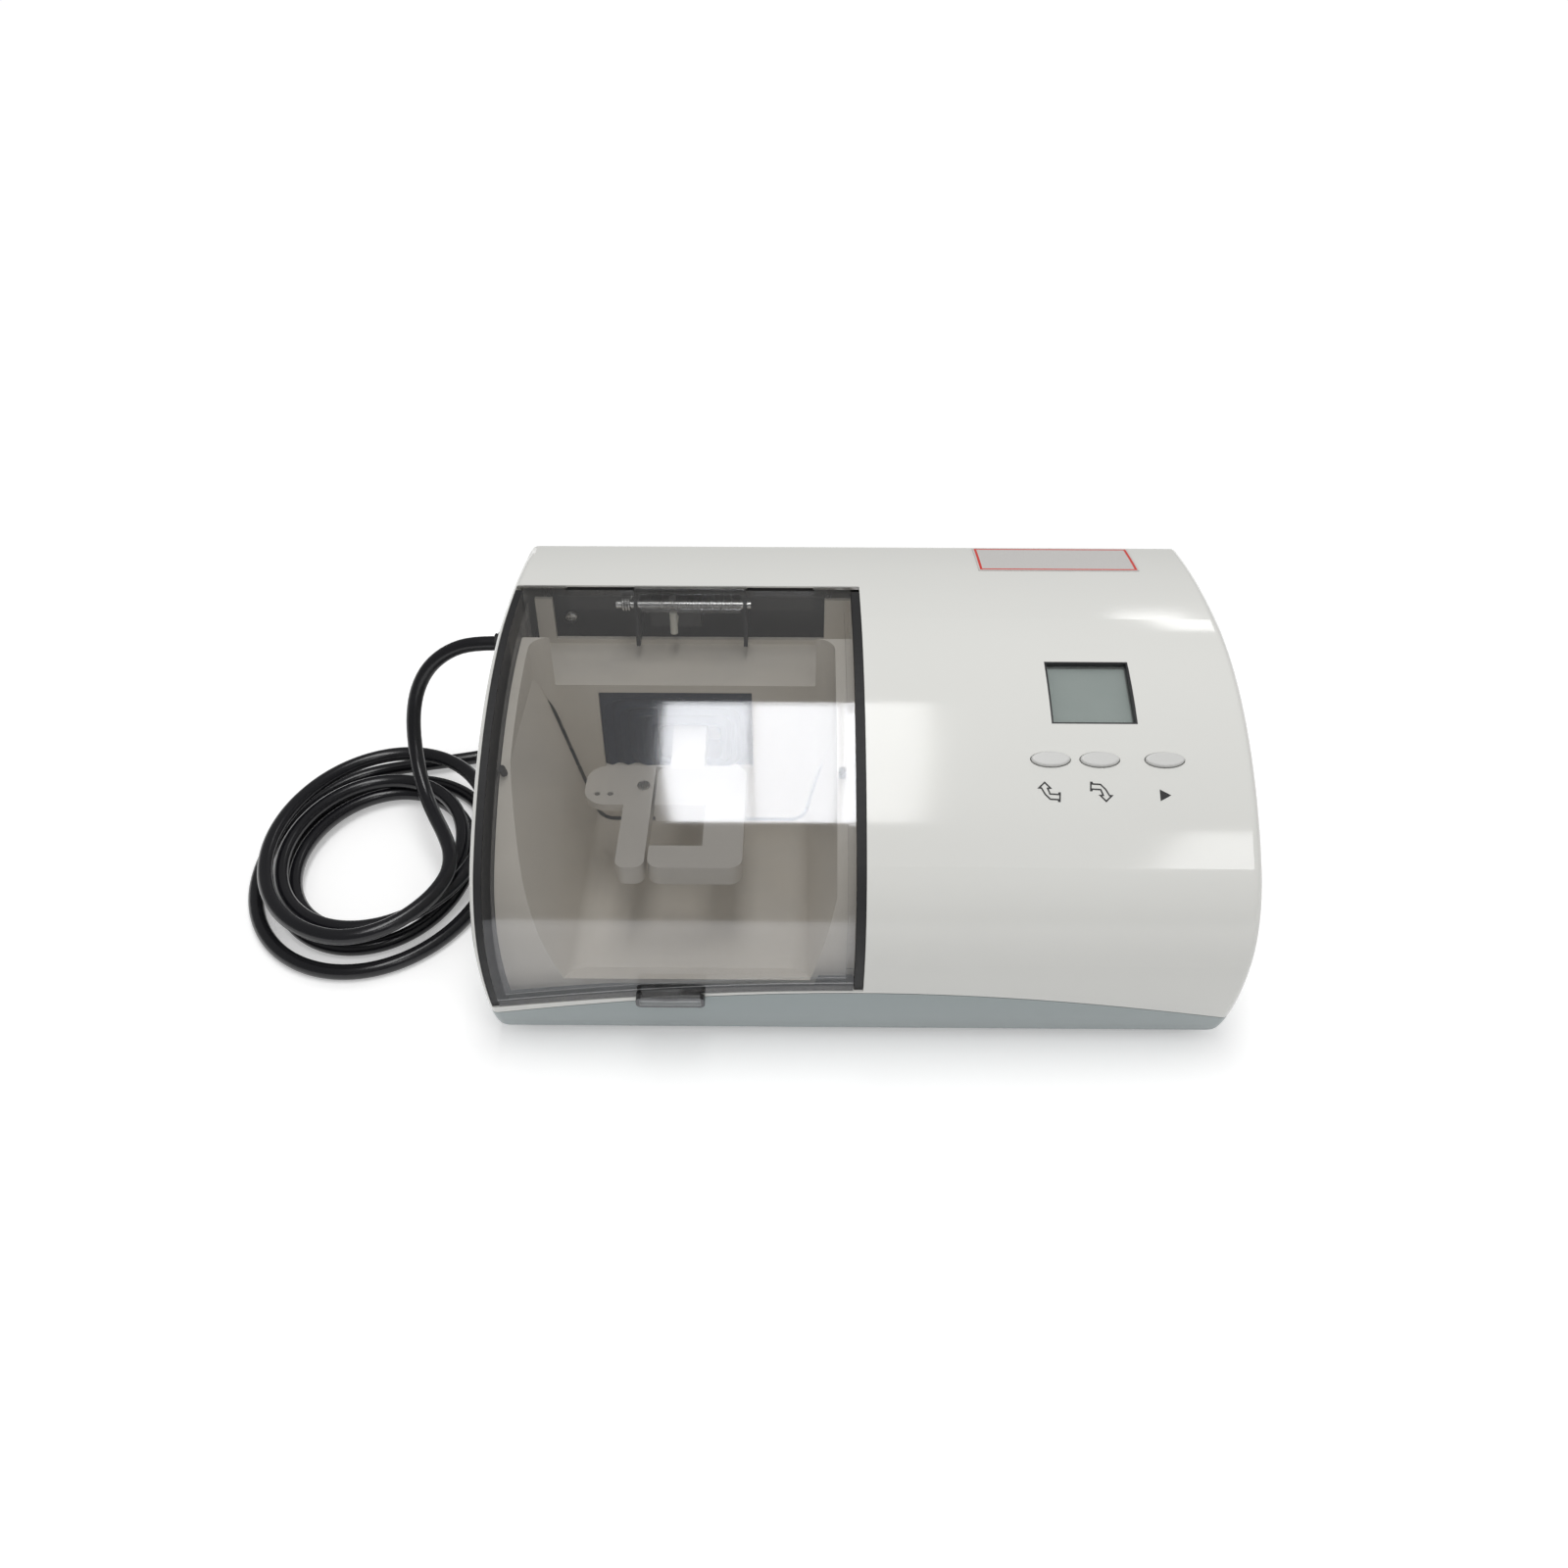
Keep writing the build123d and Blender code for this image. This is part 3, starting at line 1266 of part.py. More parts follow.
# ----------------------------------------------------------------------------
# Display and keys
# ----------------------------------------------------------------------------
window_width, window_length = window_size
with BuildPart() as display_frame:
    lining = 2 * (frame_lining - fit_gap)
    with BuildSketch(crown_plane(window_x, window_y, -2)):
        Rectangle(window_width + lining, window_length + lining)
    extrude(amount=-(frame_depth + 2))
    add(body_solid(0.15), mode=Mode.INTERSECT)
    with BuildSketch(crown_plane(window_x, window_y, flange_drop)):
        Rectangle(window_width + flange_margin[0], window_length + flange_margin[1])
    extrude(amount=flange_drop - lcd_drop)
    with BuildSketch(crown_plane(window_x, window_y, -2)):
        Rectangle(window_width, window_length)
    extrude(amount=-(lcd_drop + 4), mode=Mode.SUBTRACT)
display_frame.part.label = "display_frame"
export_step(display_frame.part, "parts/display_frame.step")

with BuildPart() as display_window:
    with BuildSketch(crown_plane(window_x, window_y, pane_drop)):
        Rectangle(window_width - 2 * fit_gap, window_length - 2 * fit_gap)
    extrude(amount=-pane_gauge)
display_window.part.label = "display_window"
export_step(display_window.part, "parts/display_window.step")

# display module: glass on a holder that stands on the board
with BuildPart() as lcd_module:
    with BuildSketch(crown_plane(window_x, window_y, lcd_drop)):
        Rectangle(window_width + lcd_margin, window_length + lcd_margin)
    extrude(amount=lcd_drop - display_board_drop)
    with BuildSketch(crown_plane(window_x, window_y, lcd_drop - lcd_step)):
        Rectangle(window_width - 1, window_length - 1)
    extrude(amount=-lcd_step)
lcd_module.part.label = "lcd_module"
export_step(lcd_module.part, "parts/lcd_module.step")

with BuildPart() as display_board:
    with BuildSketch(crown_plane(window_x, window_y, display_board_drop)):
        Rectangle(display_post_spacing[0] + board_margin, display_post_spacing[1] + board_margin)
    extrude(amount=-board_gauge)
display_board.part.label = "display_board"
export_step(display_board.part, "parts/display_board.step")

with BuildPart() as key_board:
    with BuildSketch(crown_plane(key_middle_x, key_y, key_board_drop)):
        RectangleRounded(key_post_spacing + board_margin, key_board_width, 1)
    extrude(amount=-board_gauge)
key_board.part.label = "key_board"
export_step(key_board.part, "parts/key_board.step")

with BuildPart() as tact_switches:
    for key_x in key_centres:
        with BuildSketch(crown_plane(key_x, key_y, key_board_drop)):
            Rectangle(tact_size, tact_size)
        extrude(amount=tact_height)
        with BuildSketch(crown_plane(key_x, key_y, key_board_drop)):
            Circle(tact_button[0])
        extrude(amount=tact_height + tact_button[1])
tact_switches.part.label = "tact_switches"
export_step(tact_switches.part, "parts/tact_switches.step")

key_foot_drop = key_board_drop - tact_height - tact_button[1] - key_rest_gap
for key_name, key_x in zip(key_names, key_centres):
    with BuildPart() as key_cap:
        with BuildSketch(crown_plane(key_x, key_y, key_foot_drop)):
            Ellipse(key_size[0] / 2, key_size[1] / 2)
        extrude(amount=key_foot_drop + key_proud)
        fillet(key_cap.faces().sort_by(Axis.Z)[-1].edges(), 0.8)
        with BuildSketch(crown_plane(key_x, key_y, key_foot_drop)):
            Ellipse(key_size[0] / 2 + key_lip, key_size[1] / 2 + key_lip)
        extrude(amount=key_flange)
    key_cap.part.label = key_name
    export_step(key_cap.part, f"parts/{key_name}.step")

# ----------------------------------------------------------------------------
# Electrical parts
# ----------------------------------------------------------------------------
with BuildPart() as control_board:
    add(slab(board_span, board_rows, (board_z, board_z + board_gauge)))
    with BuildSketch(Plane.XY.offset(board_z)):
        with Locations(*board_posts):
            Circle(screw_radius + fit_gap)
    extrude(amount=board_gauge, mode=Mode.SUBTRACT)
control_board.part.label = "control_board"
export_step(control_board.part, "parts/control_board.step")

# relay, processor, capacitors and plug connectors
with BuildPart() as board_parts:
    parts_base = board_z + board_gauge
    corner = Vector(board_span[0], board_rows[0], parts_base)
    for place, size in ((relay_place, relay_size), (chip_place, chip_size)):
        with Locations(corner + Vector(*place)):
            Box(*size, align=Align.MIN)
    for connector_x in connector_places:
        connector_y = board_rows[1] - board_inset - connector_size[1]
        with Locations(Vector(board_span[0] + connector_x, connector_y, parts_base)):
            Box(*connector_size, align=Align.MIN)
    for place in capacitor_places:
        with Locations(corner + Vector(*place)):
            Cylinder(*capacitor_size, align=(Align.CENTER, Align.CENTER, Align.MIN))
board_parts.part.label = "board_parts"
export_step(board_parts.part, "parts/board_parts.step")

core_left, core_front = core_place
with BuildPart() as transformer_core:
    add(
        slab(
            (core_left, core_left + core_size[0]),
            (core_front, core_front + core_size[1]),
            (foot_lift + wall, foot_lift + wall + core_size[2]),
        )
    )
    with BuildSketch(Plane.XZ.offset(-core_front + 1)):
        with Locations((core_left + core_size[0] / 2, foot_lift + wall + core_size[2] / 2)):
            with GridLocations(2 * core_leg, 0, 2, 1):
                Rectangle(core_leg, core_size[2] - core_leg)
    extrude(amount=-(core_size[1] + 2), mode=Mode.SUBTRACT)
transformer_core.part.label = "transformer_core"
export_step(transformer_core.part, "parts/transformer_core.step")

with BuildPart() as transformer_winding:
    core_middle = Vector(
        core_left + core_size[0] / 2,
        core_front + core_size[1] / 2,
        foot_lift + wall + core_size[2] / 2,
    )
    with Locations(core_middle):
        Box(
            3 * core_leg - 2 * winding_gap,
            core_size[1] + 2 * winding_reach,
            core_size[2] - core_leg - 2 * winding_gap,
        )
        Box(core_leg, core_size[1], core_size[2] - core_leg, mode=Mode.SUBTRACT)
transformer_winding.part.label = "transformer_winding"
export_step(transformer_winding.part, "parts/transformer_winding.step")

rear_face = body_depth / 2
switch_rear = rear_face - switch_depth - switch_blade[1] / 2
with BuildPart() as power_switch:
    with Locations(Vector(switch_x, rear_face + switch_bezel / 2, switch_z)):
        Box(switch_size[0], switch_bezel, switch_size[1])
    with Locations(Vector(switch_x, rear_face - switch_depth / 2, switch_z)):
        Box(switch_size[0] - 2, switch_depth, switch_size[1] - 2)
    with Locations(Vector(switch_x, rear_face - 2, switch_z)):
        Box(rocker_length + 2 * slide_gap, 12, rocker_width + 2 * slide_gap, mode=Mode.SUBTRACT)
    for blade_x in (switch_x - switch_blade_x, switch_x + switch_blade_x):
        with Locations(Vector(blade_x, switch_rear, switch_z)):
            Box(*switch_blade)
power_switch.part.label = "power_switch"
export_step(power_switch.part, "parts/power_switch.step")

# the rocker's left end stands out; pressing it turns the other end out
with BuildPart() as rocker:
    with BuildSketch(Plane.XY.offset(switch_z - rocker_width / 2)):
        with Locations((switch_x, rocker_pivot_y)):
            Polygon((-6.2, 3.9), (-5.2, -1.2), (5.2, -1.2), (6.2, 2.7), (0, 2.2), align=None)
    extrude(amount=rocker_width)
    with BuildSketch(Plane.XY.offset(switch_z - rocker_width / 2 - rocker_pivot_reach)):
        with Locations((switch_x, rocker_pivot_y)):
            Circle(rocker_pivot_radius)
    extrude(amount=rocker_width + 2 * rocker_pivot_reach)
rocker.part.label = "rocker"
export_step(rocker.part, "parts/rocker.step")

fuse_face = Plane(origin=(fuse_x, rear_face, fuse_z), z_dir=(0, 1, 0))
with BuildPart() as fuse_holder:
    with Locations(fuse_face):
        Cylinder(fuse_radius + 2, fuse_wall, align=(Align.CENTER, Align.CENTER, Align.MIN))
        Cylinder(fuse_radius, fuse_length, align=(Align.CENTER, Align.CENTER, Align.MAX))
    with Locations(fuse_face.offset(fuse_wall)):
        Hole(fuse_radius - fuse_wall, depth=fuse_length - 4)
fuse_holder.part.label = "fuse_holder"
export_step(fuse_holder.part, "parts/fuse_holder.step")

with BuildPart() as fuse_cap:
    with Locations(fuse_face.offset(fuse_wall)):
        Cylinder(fuse_radius + 0.6, fuse_cap_height, align=(Align.CENTER, Align.CENTER, Align.MIN))
        Cylinder(fuse_radius - fuse_wall - fit_gap, 6, align=(Align.CENTER, Align.CENTER, Align.MAX))
    with Locations(fuse_face.offset(fuse_wall + fuse_cap_height)):
        Box(*fuse_key, align=(Align.CENTER, Align.CENTER, Align.MIN))
fuse_cap.part.label = "fuse_cap"
export_step(fuse_cap.part, "parts/fuse_cap.step")

with BuildPart() as terminal_block:
    with Locations(Vector(*terminal_place, foot_lift + wall)):
        block_height = terminal_top - foot_lift - wall
        Box(*terminal_size, block_height, align=(Align.CENTER, Align.CENTER, Align.MIN))
    with BuildSketch(Plane.XY.offset(terminal_top)):
        with Locations(terminal_place):
            with GridLocations(0, terminal_pitch, 1, 3):
                Circle(terminal_well[0])
    extrude(amount=-terminal_well[1], mode=Mode.SUBTRACT)
terminal_block.part.label = "terminal_block"
export_step(terminal_block.part, "parts/terminal_block.step")

# ----------------------------------------------------------------------------
# Mains cord
# ----------------------------------------------------------------------------
left_face = -body_width / 2
with BuildPart() as strain_relief:
    with BuildSketch(Plane.YZ.offset(left_face - gland_flange)):
        with Locations((gland_y, gland_z)):
            Circle(gland_flange_radius)
    extrude(amount=gland_flange)
    with BuildSketch(Plane.YZ.offset(left_face)):
        with Locations((gland_y, gland_z)):
            Circle(gland_neck_radius)
    extrude(amount=wall + fit_gap)
    with BuildSketch(Plane.YZ.offset(left_face + wall + fit_gap)):
        with Locations((gland_y, gland_z)):
            Circle(gland_flange_radius)
    extrude(amount=gland_nut)
    with BuildSketch(Plane.YZ.offset(left_face - gland_flange)):
        with Locations((gland_y, gland_z)):
            Circle(gland_neck_radius)
    with BuildSketch(Plane.YZ.offset(gland_end_x)):
        with Locations((gland_y, gland_z)):
            Circle(gland_tip_radius)
    loft()
strain_relief.part.label = "strain_relief"
export_step(strain_relief.part, "parts/strain_relief.step")


def bend_radii(route):
    """Largest arc that each corner of a route allows, from its two runs and its turn."""
    points = [Vector(*point) for point in route]
    radii = []
    for before, corner, after in zip(points, points[1:], points[2:]):
        turn = (corner - before).get_angle(after - corner)
        shorter = min((corner - before).length, (after - corner).length)
        radii.append(0.45 * shorter / math.tan(math.radians(turn / 2)))
    return radii


def cord_tube(route):
    """Round cord along a route of straight runs and tangent arcs."""
    with BuildPart() as tube:
        with BuildLine() as path:
            FilletPolyline(*route, radius=bend_radii(route))
        route_wire = path.wires()[0]
        with BuildSketch(Plane(origin=route_wire @ 0, z_dir=route_wire % 0)):
            Circle(cord_radius)
        sweep()
    section = math.pi * cord_radius**2
    print(
        "cord run, length", round(route_wire.length, 1),
        "volume ratio", round(tube.part.volume / (section * route_wire.length), 4),
        "radii", [round(radius) for radius in bend_radii(route)],
    )
    return tube.part


cord_lead = cord_tube(lead_route)
cord_lead.label = "cord_lead"
export_step(cord_lead, "parts/cord_lead.step")

cord_tail = cord_tube(tail_route)
cord_tail.label = "cord_tail"
export_step(cord_tail, "parts/cord_tail.step")

with BuildPart() as cord_coil:
    with BuildSketch(Plane.XY.offset(coil_floor_gap)):
        with Locations(coil_centre):
            Ellipse(*coil_outer)
            Ellipse(*coil_inner, mode=Mode.SUBTRACT)
    extrude(amount=coil_height - coil_floor_gap)
    chamfer(cord_coil.edges().group_by(Axis.Z)[-1], coil_shoulder)
cord_coil.part.label = "cord_coil"
export_step(cord_coil.part, "parts/cord_coil.step")

plug_x, plug_y, plug_z = tail_route[-1]
with BuildPart() as plug_body:
    with BuildSketch(Plane.YZ.offset(plug_x)):
        with Locations((plug_y, plug_z)):
            Circle(cord_radius + plug_collar[0])
    with BuildSketch(Plane.YZ.offset(plug_x + plug_relief)):
        with Locations((plug_y, plug_z)):
            Circle(cord_radius + plug_collar[1])
    loft()
    with Locations(Vector(plug_x + plug_relief + plug_length / 2, plug_y, plug_z)):
        Box(plug_length, plug_width, plug_height)
    fillet(plug_body.edges().filter_by(Axis.X).filter_by(GeomType.LINE), plug_corner)
plug_body.part.label = "plug_body"
export_step(plug_body.part, "parts/plug_body.step")

blade_x = plug_x + plug_relief + plug_length
with BuildPart() as plug_blades:
    with BuildSketch(Plane.YZ.offset(blade_x)):
        with Locations((plug_y, plug_z + blade_rise)):
            with GridLocations(blade_spacing, 0, 2, 1):
                Rectangle(*blade_size)
        with Locations((plug_y, plug_z - earth_pin_drop)):
            Circle(earth_pin_radius)
    extrude(amount=blade_length)
plug_blades.part.label = "plug_blades"
export_step(plug_blades.part, "parts/plug_blades.step")
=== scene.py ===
# %% [markdown]
# # A dental capsule mixer
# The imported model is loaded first. It is the fixed frame: every housing, board, shaft and key already
# stands in its place, in metres. The cells below dress it: they give each part its finish, and replace
# the few parts whose real shape a machined solid can't show, such as the cord.

# %% Load the frame
import math

import bmesh
import bpy
from mathutils import Matrix, Vector


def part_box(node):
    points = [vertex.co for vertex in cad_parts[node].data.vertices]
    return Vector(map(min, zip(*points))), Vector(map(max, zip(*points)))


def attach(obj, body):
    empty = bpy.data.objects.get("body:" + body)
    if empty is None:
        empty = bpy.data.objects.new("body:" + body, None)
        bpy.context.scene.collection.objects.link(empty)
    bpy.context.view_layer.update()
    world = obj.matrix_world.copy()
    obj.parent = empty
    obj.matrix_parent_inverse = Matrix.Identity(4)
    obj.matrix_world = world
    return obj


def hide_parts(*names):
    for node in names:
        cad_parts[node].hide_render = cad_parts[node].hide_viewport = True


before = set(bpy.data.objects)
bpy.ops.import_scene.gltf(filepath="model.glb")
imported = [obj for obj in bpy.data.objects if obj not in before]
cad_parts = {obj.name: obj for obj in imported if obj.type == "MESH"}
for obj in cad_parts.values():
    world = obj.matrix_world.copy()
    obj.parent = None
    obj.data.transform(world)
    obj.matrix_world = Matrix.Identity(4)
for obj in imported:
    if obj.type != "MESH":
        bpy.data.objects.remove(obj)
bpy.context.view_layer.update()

# %% [markdown]
# ## Camera
# The machine stands on a table and is seen from above and in front. A fairly wide lens at arm's length
# makes the front look larger than the back, so the lens and the distance are set together.

# %% Camera
camera_data = bpy.data.cameras.new("camera")
camera_data.lens = 30.88
camera_data.sensor_width = 36.0
look_down, look_left = 39.06, 0.55
camera = bpy.data.objects.new("camera", camera_data)
camera.location = (-0.0243, -0.4122, 0.3929)
camera.rotation_euler = (math.radians(90 - look_down), 0, math.radians(look_left))
bpy.context.scene.collection.objects.link(camera)
bpy.context.scene.camera = camera
print("camera at", [round(value, 3) for value in camera.location])

# %% [markdown]
# ## A small language for materials
# A shader is a graph of nodes. Writing it out node by node hides what it does, so a Wire wraps the
# output of a node and lets Python's own + - * / build the Math nodes. Any other node comes from one
# method, which sets the node up first and then fills or links its inputs.

# %% Wires between shader nodes
class Wire:
    """The output of a shader node. Sums on wires add Math nodes."""

    def __init__(self, tree, socket):
        self.tree = tree
        self.socket = socket

    def node(self, kind, settings=None, inputs=None, output=0):
        node = self.tree.nodes.new(kind)
        for key, value in (settings or {}).items():
            if key == "stops":
                ramp = node.color_ramp.elements
                ramp[0].position, ramp[0].color = value[0]
                ramp[1].position, ramp[1].color = value[-1]
                for position, colour in value[1:-1]:
                    ramp.new(position).color = colour
            else:
                setattr(node, key, value)
        for key, value in (inputs or {}).items():
            if isinstance(value, Wire):
                self.tree.links.new(value.socket, node.inputs[key])
            else:
                node.inputs[key].default_value = value
        return Wire(self.tree, node.outputs[output])

    def math(self, operation, first, second=0.0, third=0.0):
        return self.node("ShaderNodeMath", {"operation": operation}, {0: first, 1: second, 2: third})

    def __add__(self, other):
        return self.math("ADD", self, other)

    __radd__ = __add__

    def __sub__(self, other):
        return self.math("SUBTRACT", self, other)

    def __rsub__(self, other):
        return self.math("SUBTRACT", other, self)

    def __mul__(self, other):
        return self.math("MULTIPLY", self, other)

    __rmul__ = __mul__

    def __truediv__(self, other):
        return self.math("DIVIDE", self, other)


def blend_colours(factor, first, second):
    """One colour where factor is 0 and the other where it is 1."""
    return factor.node("ShaderNodeMix", {"data_type": "RGBA"}, {0: factor, 6: first, 7: second}, output=2)


def noise(place, scale, detail=2.0, roughness=0.5):
    """Soft noise from 0 to 1; scale is in bumps to the metre."""
    return place.node(
        "ShaderNodeTexNoise", None,
        {"Vector": place, "Scale": scale, "Detail": detail, "Roughness": roughness},
    )


def stretched(place, scale, rotation=(0, 0, 0)):
    """The same place, with the pattern squeezed or turned."""
    return place.node("ShaderNodeMapping", None, {"Vector": place, "Scale": scale, "Rotation": rotation})


def band(value, low, high, soft):
    """1 where value lies between low and high, 0 outside, with soft edges."""
    rising = value.node("ShaderNodeMapRange", {"clamp": True}, {0: value, 1: low - soft, 2: low + soft})
    falling = value.node("ShaderNodeMapRange", {"clamp": True}, {0: value, 1: high + soft, 2: high - soft})
    return rising * falling


def raised(height, distance):
    """A bump map: height from 0 to 1, times a distance in metres."""
    return height.node("ShaderNodeBump", None, {"Height": height, "Distance": distance, "Strength": 1.0})


def open_material(name):
    """A new material, its shader, and the place on the object in metres."""
    material = bpy.data.materials.new(name)
    material.use_nodes = True
    tree = material.node_tree
    shader = tree.nodes["Principled BSDF"]
    coordinates = tree.nodes.new("ShaderNodeTexCoord")
    return material, shader, Wire(tree, coordinates.outputs["Object"])


def fill(shader, **sockets):
    """Sets or links the shader's sockets by name, with _ for a space."""
    for name, value in sockets.items():
        socket = shader.inputs[name.replace("_", " ")]
        if isinstance(value, Wire):
            value.tree.links.new(value.socket, socket)
        else:
            socket.default_value = value


def shade(colour, factor):
    """A colour made lighter or darker."""
    return tuple(min(1.0, part * factor) for part in colour[:3]) + (1.0,)


print("wires ready")

# %% [markdown]
# ## Moulded plastics and rubber
# Injection-moulded plastic is never one flat colour: its tone drifts a little, its gloss changes where
# hands have polished it, and under a lamp the surface shows a fine orange peel. The same three layers,
# tone, gloss and peel, are set up once, and every plastic picks its own strength of each.

# %% Plastics and rubber
def moulded(name, colour, gloss, tone=0.03, peel=0.00001, peel_scale=900.0, scuff=0.06, **extra):
    """Plastic or rubber: drifting tone, uneven gloss, fine peel."""
    material, shader, place = open_material(name)
    drift = noise(place, 22.0, 3.0)
    speck = noise(place, 3200.0, 1.0)
    scuffs = noise(stretched(place, (30.0, 260.0, 140.0), (0.3, 0.2, 0.6)), 3.0, 4.0, 0.65)
    base = blend_colours(drift * 0.8 + speck * 0.2, shade(colour, 1 - tone), shade(colour, 1 + tone))
    fill(
        shader,
        Base_Color=base,
        Roughness=gloss + (scuffs - 0.5) * (2 * scuff),
        Normal=raised(noise(place, peel_scale, 2.0), peel),
        **extra,
    )
    return material


shell_white = moulded("shell_white", (0.705, 0.705, 0.677), 0.10, tone=0.012, peel=0.000004,
                      peel_scale=420.0, scuff=0.03, Specular_IOR_Level=0.38)
base_grey = moulded("base_grey", (0.31, 0.355, 0.36), 0.3, tone=0.02, peel=0.000012, scuff=0.05)
black_plastic = moulded("black_plastic", (0.018, 0.018, 0.02), 0.42, tone=0.1, peel=0.00003,
                        peel_scale=1500.0)
key_plastic = moulded("key_plastic", (0.60, 0.60, 0.585), 0.36, tone=0.02, peel=0.00001, peel_scale=1800.0)
black_rubber = moulded("black_rubber", (0.014, 0.014, 0.015), 0.62, tone=0.15, peel=0.00005,
                       peel_scale=2200.0, scuff=0.1)
boot_rubber = moulded("boot_rubber", (0.012, 0.026, 0.060), 0.55, tone=0.1, peel=0.00004, peel_scale=1600.0)
cord_jacket = moulded("cord_jacket", (0.007, 0.007, 0.009), 0.24, tone=0.15, peel=0.00002,
                      peel_scale=1300.0, scuff=0.08)
nylon = moulded("nylon", (0.68, 0.66, 0.59), 0.4, tone=0.03, Subsurface_Weight=0.05)
print("plastics ready")

# %% [markdown]
# The tub is a satin moulding that catches grey dust from the capsules. The dust lies on what faces up,
# so its mask comes from the height of the surface normal, broken up by noise.

# %% Tub plastic
def dusty_tub():
    """A satin moulding with dust on its upward faces."""
    material, shader, place = open_material("tub_plastic")
    normal = place.node("ShaderNodeNewGeometry", output=1)
    up = normal.node("ShaderNodeSeparateXYZ", None, {0: normal}, output=2)
    patches = noise(place, 45.0, 5.0, 0.6)
    lying = up.math("MAXIMUM", up, 0.0) * patches
    dust = lying.node("ShaderNodeMapRange", {"clamp": True}, {0: lying, 1: 0.42, 2: 0.75})
    streaks = noise(stretched(place, (40.0, 40.0, 6.0)), 2.0, 3.0)
    clean = blend_colours(streaks, (0.72, 0.675, 0.595, 1.0), (0.78, 0.735, 0.66, 1.0))
    fill(
        shader,
        Base_Color=blend_colours(dust * 0.5, clean, (0.65, 0.62, 0.57, 1.0)),
        Roughness=0.3 + dust * 0.3 + (streaks - 0.5) * 0.12,
        Normal=raised(noise(place, 1400.0, 2.0), 0.00002),
    )
    return material


tub_plastic = dusty_tub()
print("tub plastic ready")

# %% [markdown]
# The lid is smoked acrylic. It is see-through, so its colour comes mostly from what lies behind it;
# what is its own is the grey tint, a hard gloss, and the hairline scratches of wiping. The tint is an
# even see-through share, and the scratches and smears change over it. Painted light lies on it too:
# painted shade darkens a band along the bottom edge and the pull tab's rim, and a painted highlight
# lightens a thin line a little above the bottom edge and the inside of the tab.

# %% Smoked acrylic
def painted_lid_marks(place):
    """Masks of painted shade along the bottom edge and round the pull tab's rim, and of painted highlight
    on a line above the bottom edge and inside the tab.
    """
    x = place.node("ShaderNodeSeparateXYZ", None, {0: place}, output=0)
    z = place.node("ShaderNodeSeparateXYZ", None, {0: place}, output=2)
    middle_x, middle_z, half_width, half_height, rim = -0.0677, 0.0322, 0.0123, 0.0030, 0.0014
    soft = 0.0001
    outer = band(x, middle_x - half_width, middle_x + half_width, soft)
    outer = outer * band(z, middle_z - half_height, middle_z + half_height, soft)
    inner = band(x, middle_x - half_width + rim, middle_x + half_width - rim, soft)
    inner = inner * band(z, middle_z - half_height + rim, middle_z + half_height - rim, soft)
    arch_radius, arch_top = 0.67, 0.0369
    arch = arch_top - arch_radius + x.math("SQRT", arch_radius**2 - x * x)
    # Painted shade: a dark band along the bottom edge, where the thick edge is seen end-on, and round the
    # pull tab's rim. Painted highlight: a pale line a little above the bottom edge, and the tab's inside.
    painted_shade_at_bottom = band(z - arch, -0.0002, 0.0007, 0.00015)
    painted_highlight = band(z - arch, 0.0040, 0.0046, 0.0002)
    painted_shade_round_tab = outer * (1 - inner)
    return painted_shade_round_tab.math("MAXIMUM", painted_shade_round_tab, painted_shade_at_bottom * 0.7), painted_highlight.math("MAXIMUM", painted_highlight, inner)


def smoked_acrylic():
    """See-through grey with a hard gloss: a plastic and a mirror, mixed evenly but for smears."""
    material, shader, place = open_material("smoked_acrylic")
    hairlines = noise(stretched(place, (900.0, 60.0, 60.0), (0.0, 0.3, 0.5)), 1.0, 5.0, 0.7)
    smears = noise(stretched(place, (18.0, 30.0, 30.0)), 1.0, 4.0, 0.6)
    scratch = hairlines.node("ShaderNodeMapRange", {"clamp": True}, {0: hairlines, 1: 0.68, 2: 0.78})
    # The first mask is painted shade: near black and nearly opaque. The second is painted highlight: pale
    # and less see-through.
    edges, painted_highlight = painted_lid_marks(place)
    tint = blend_colours(smears, (0.07, 0.066, 0.06, 1.0), (0.10, 0.095, 0.087, 1.0))
    tint_and_painted_highlight = blend_colours(painted_highlight, tint, (0.6, 0.61, 0.61, 1.0))
    fill(
        shader,
        Base_Color=blend_colours(edges, tint_and_painted_highlight, (0.012, 0.012, 0.014, 1.0)),
        Roughness=0.08 + scratch * 0.2,
        Alpha=0.17 + (smears - 0.5) * 0.04 + scratch * 0.04 + edges * 0.7 + painted_highlight * 0.3,
        Specular_IOR_Level=0.4,
    )
    gloss = shader.id_data.nodes.new("ShaderNodeBsdfPrincipled")
    gloss.inputs["Metallic"].default_value = 1.0
    fill(gloss, Base_Color=(0.93, 0.95, 1.0, 1.0), Roughness=0.03 + scratch * 0.08 + smears * 0.05)
    layered = place.node(
        "ShaderNodeMixShader", None,
        {0: 0.064 + (smears - 0.5) * 0.015,
         1: Wire(place.tree, shader.outputs[0]), 2: Wire(place.tree, gloss.outputs[0])},
    )
    place.tree.links.new(layered.socket, place.tree.nodes["Material Output"].inputs["Surface"])
    return material


smoke = smoked_acrylic()
print("smoked acrylic ready")

# %% [markdown]
# ## Metals
# Each metal here is told apart by how it was made: turned steel has rings of tool marks, cast alloy is
# grainy, plated sheet shows crystals, and rolled sheet has long grain. All of it is roughness and bump.

# %% Metals
even_grain = (1.0, 1.0, 1.0)


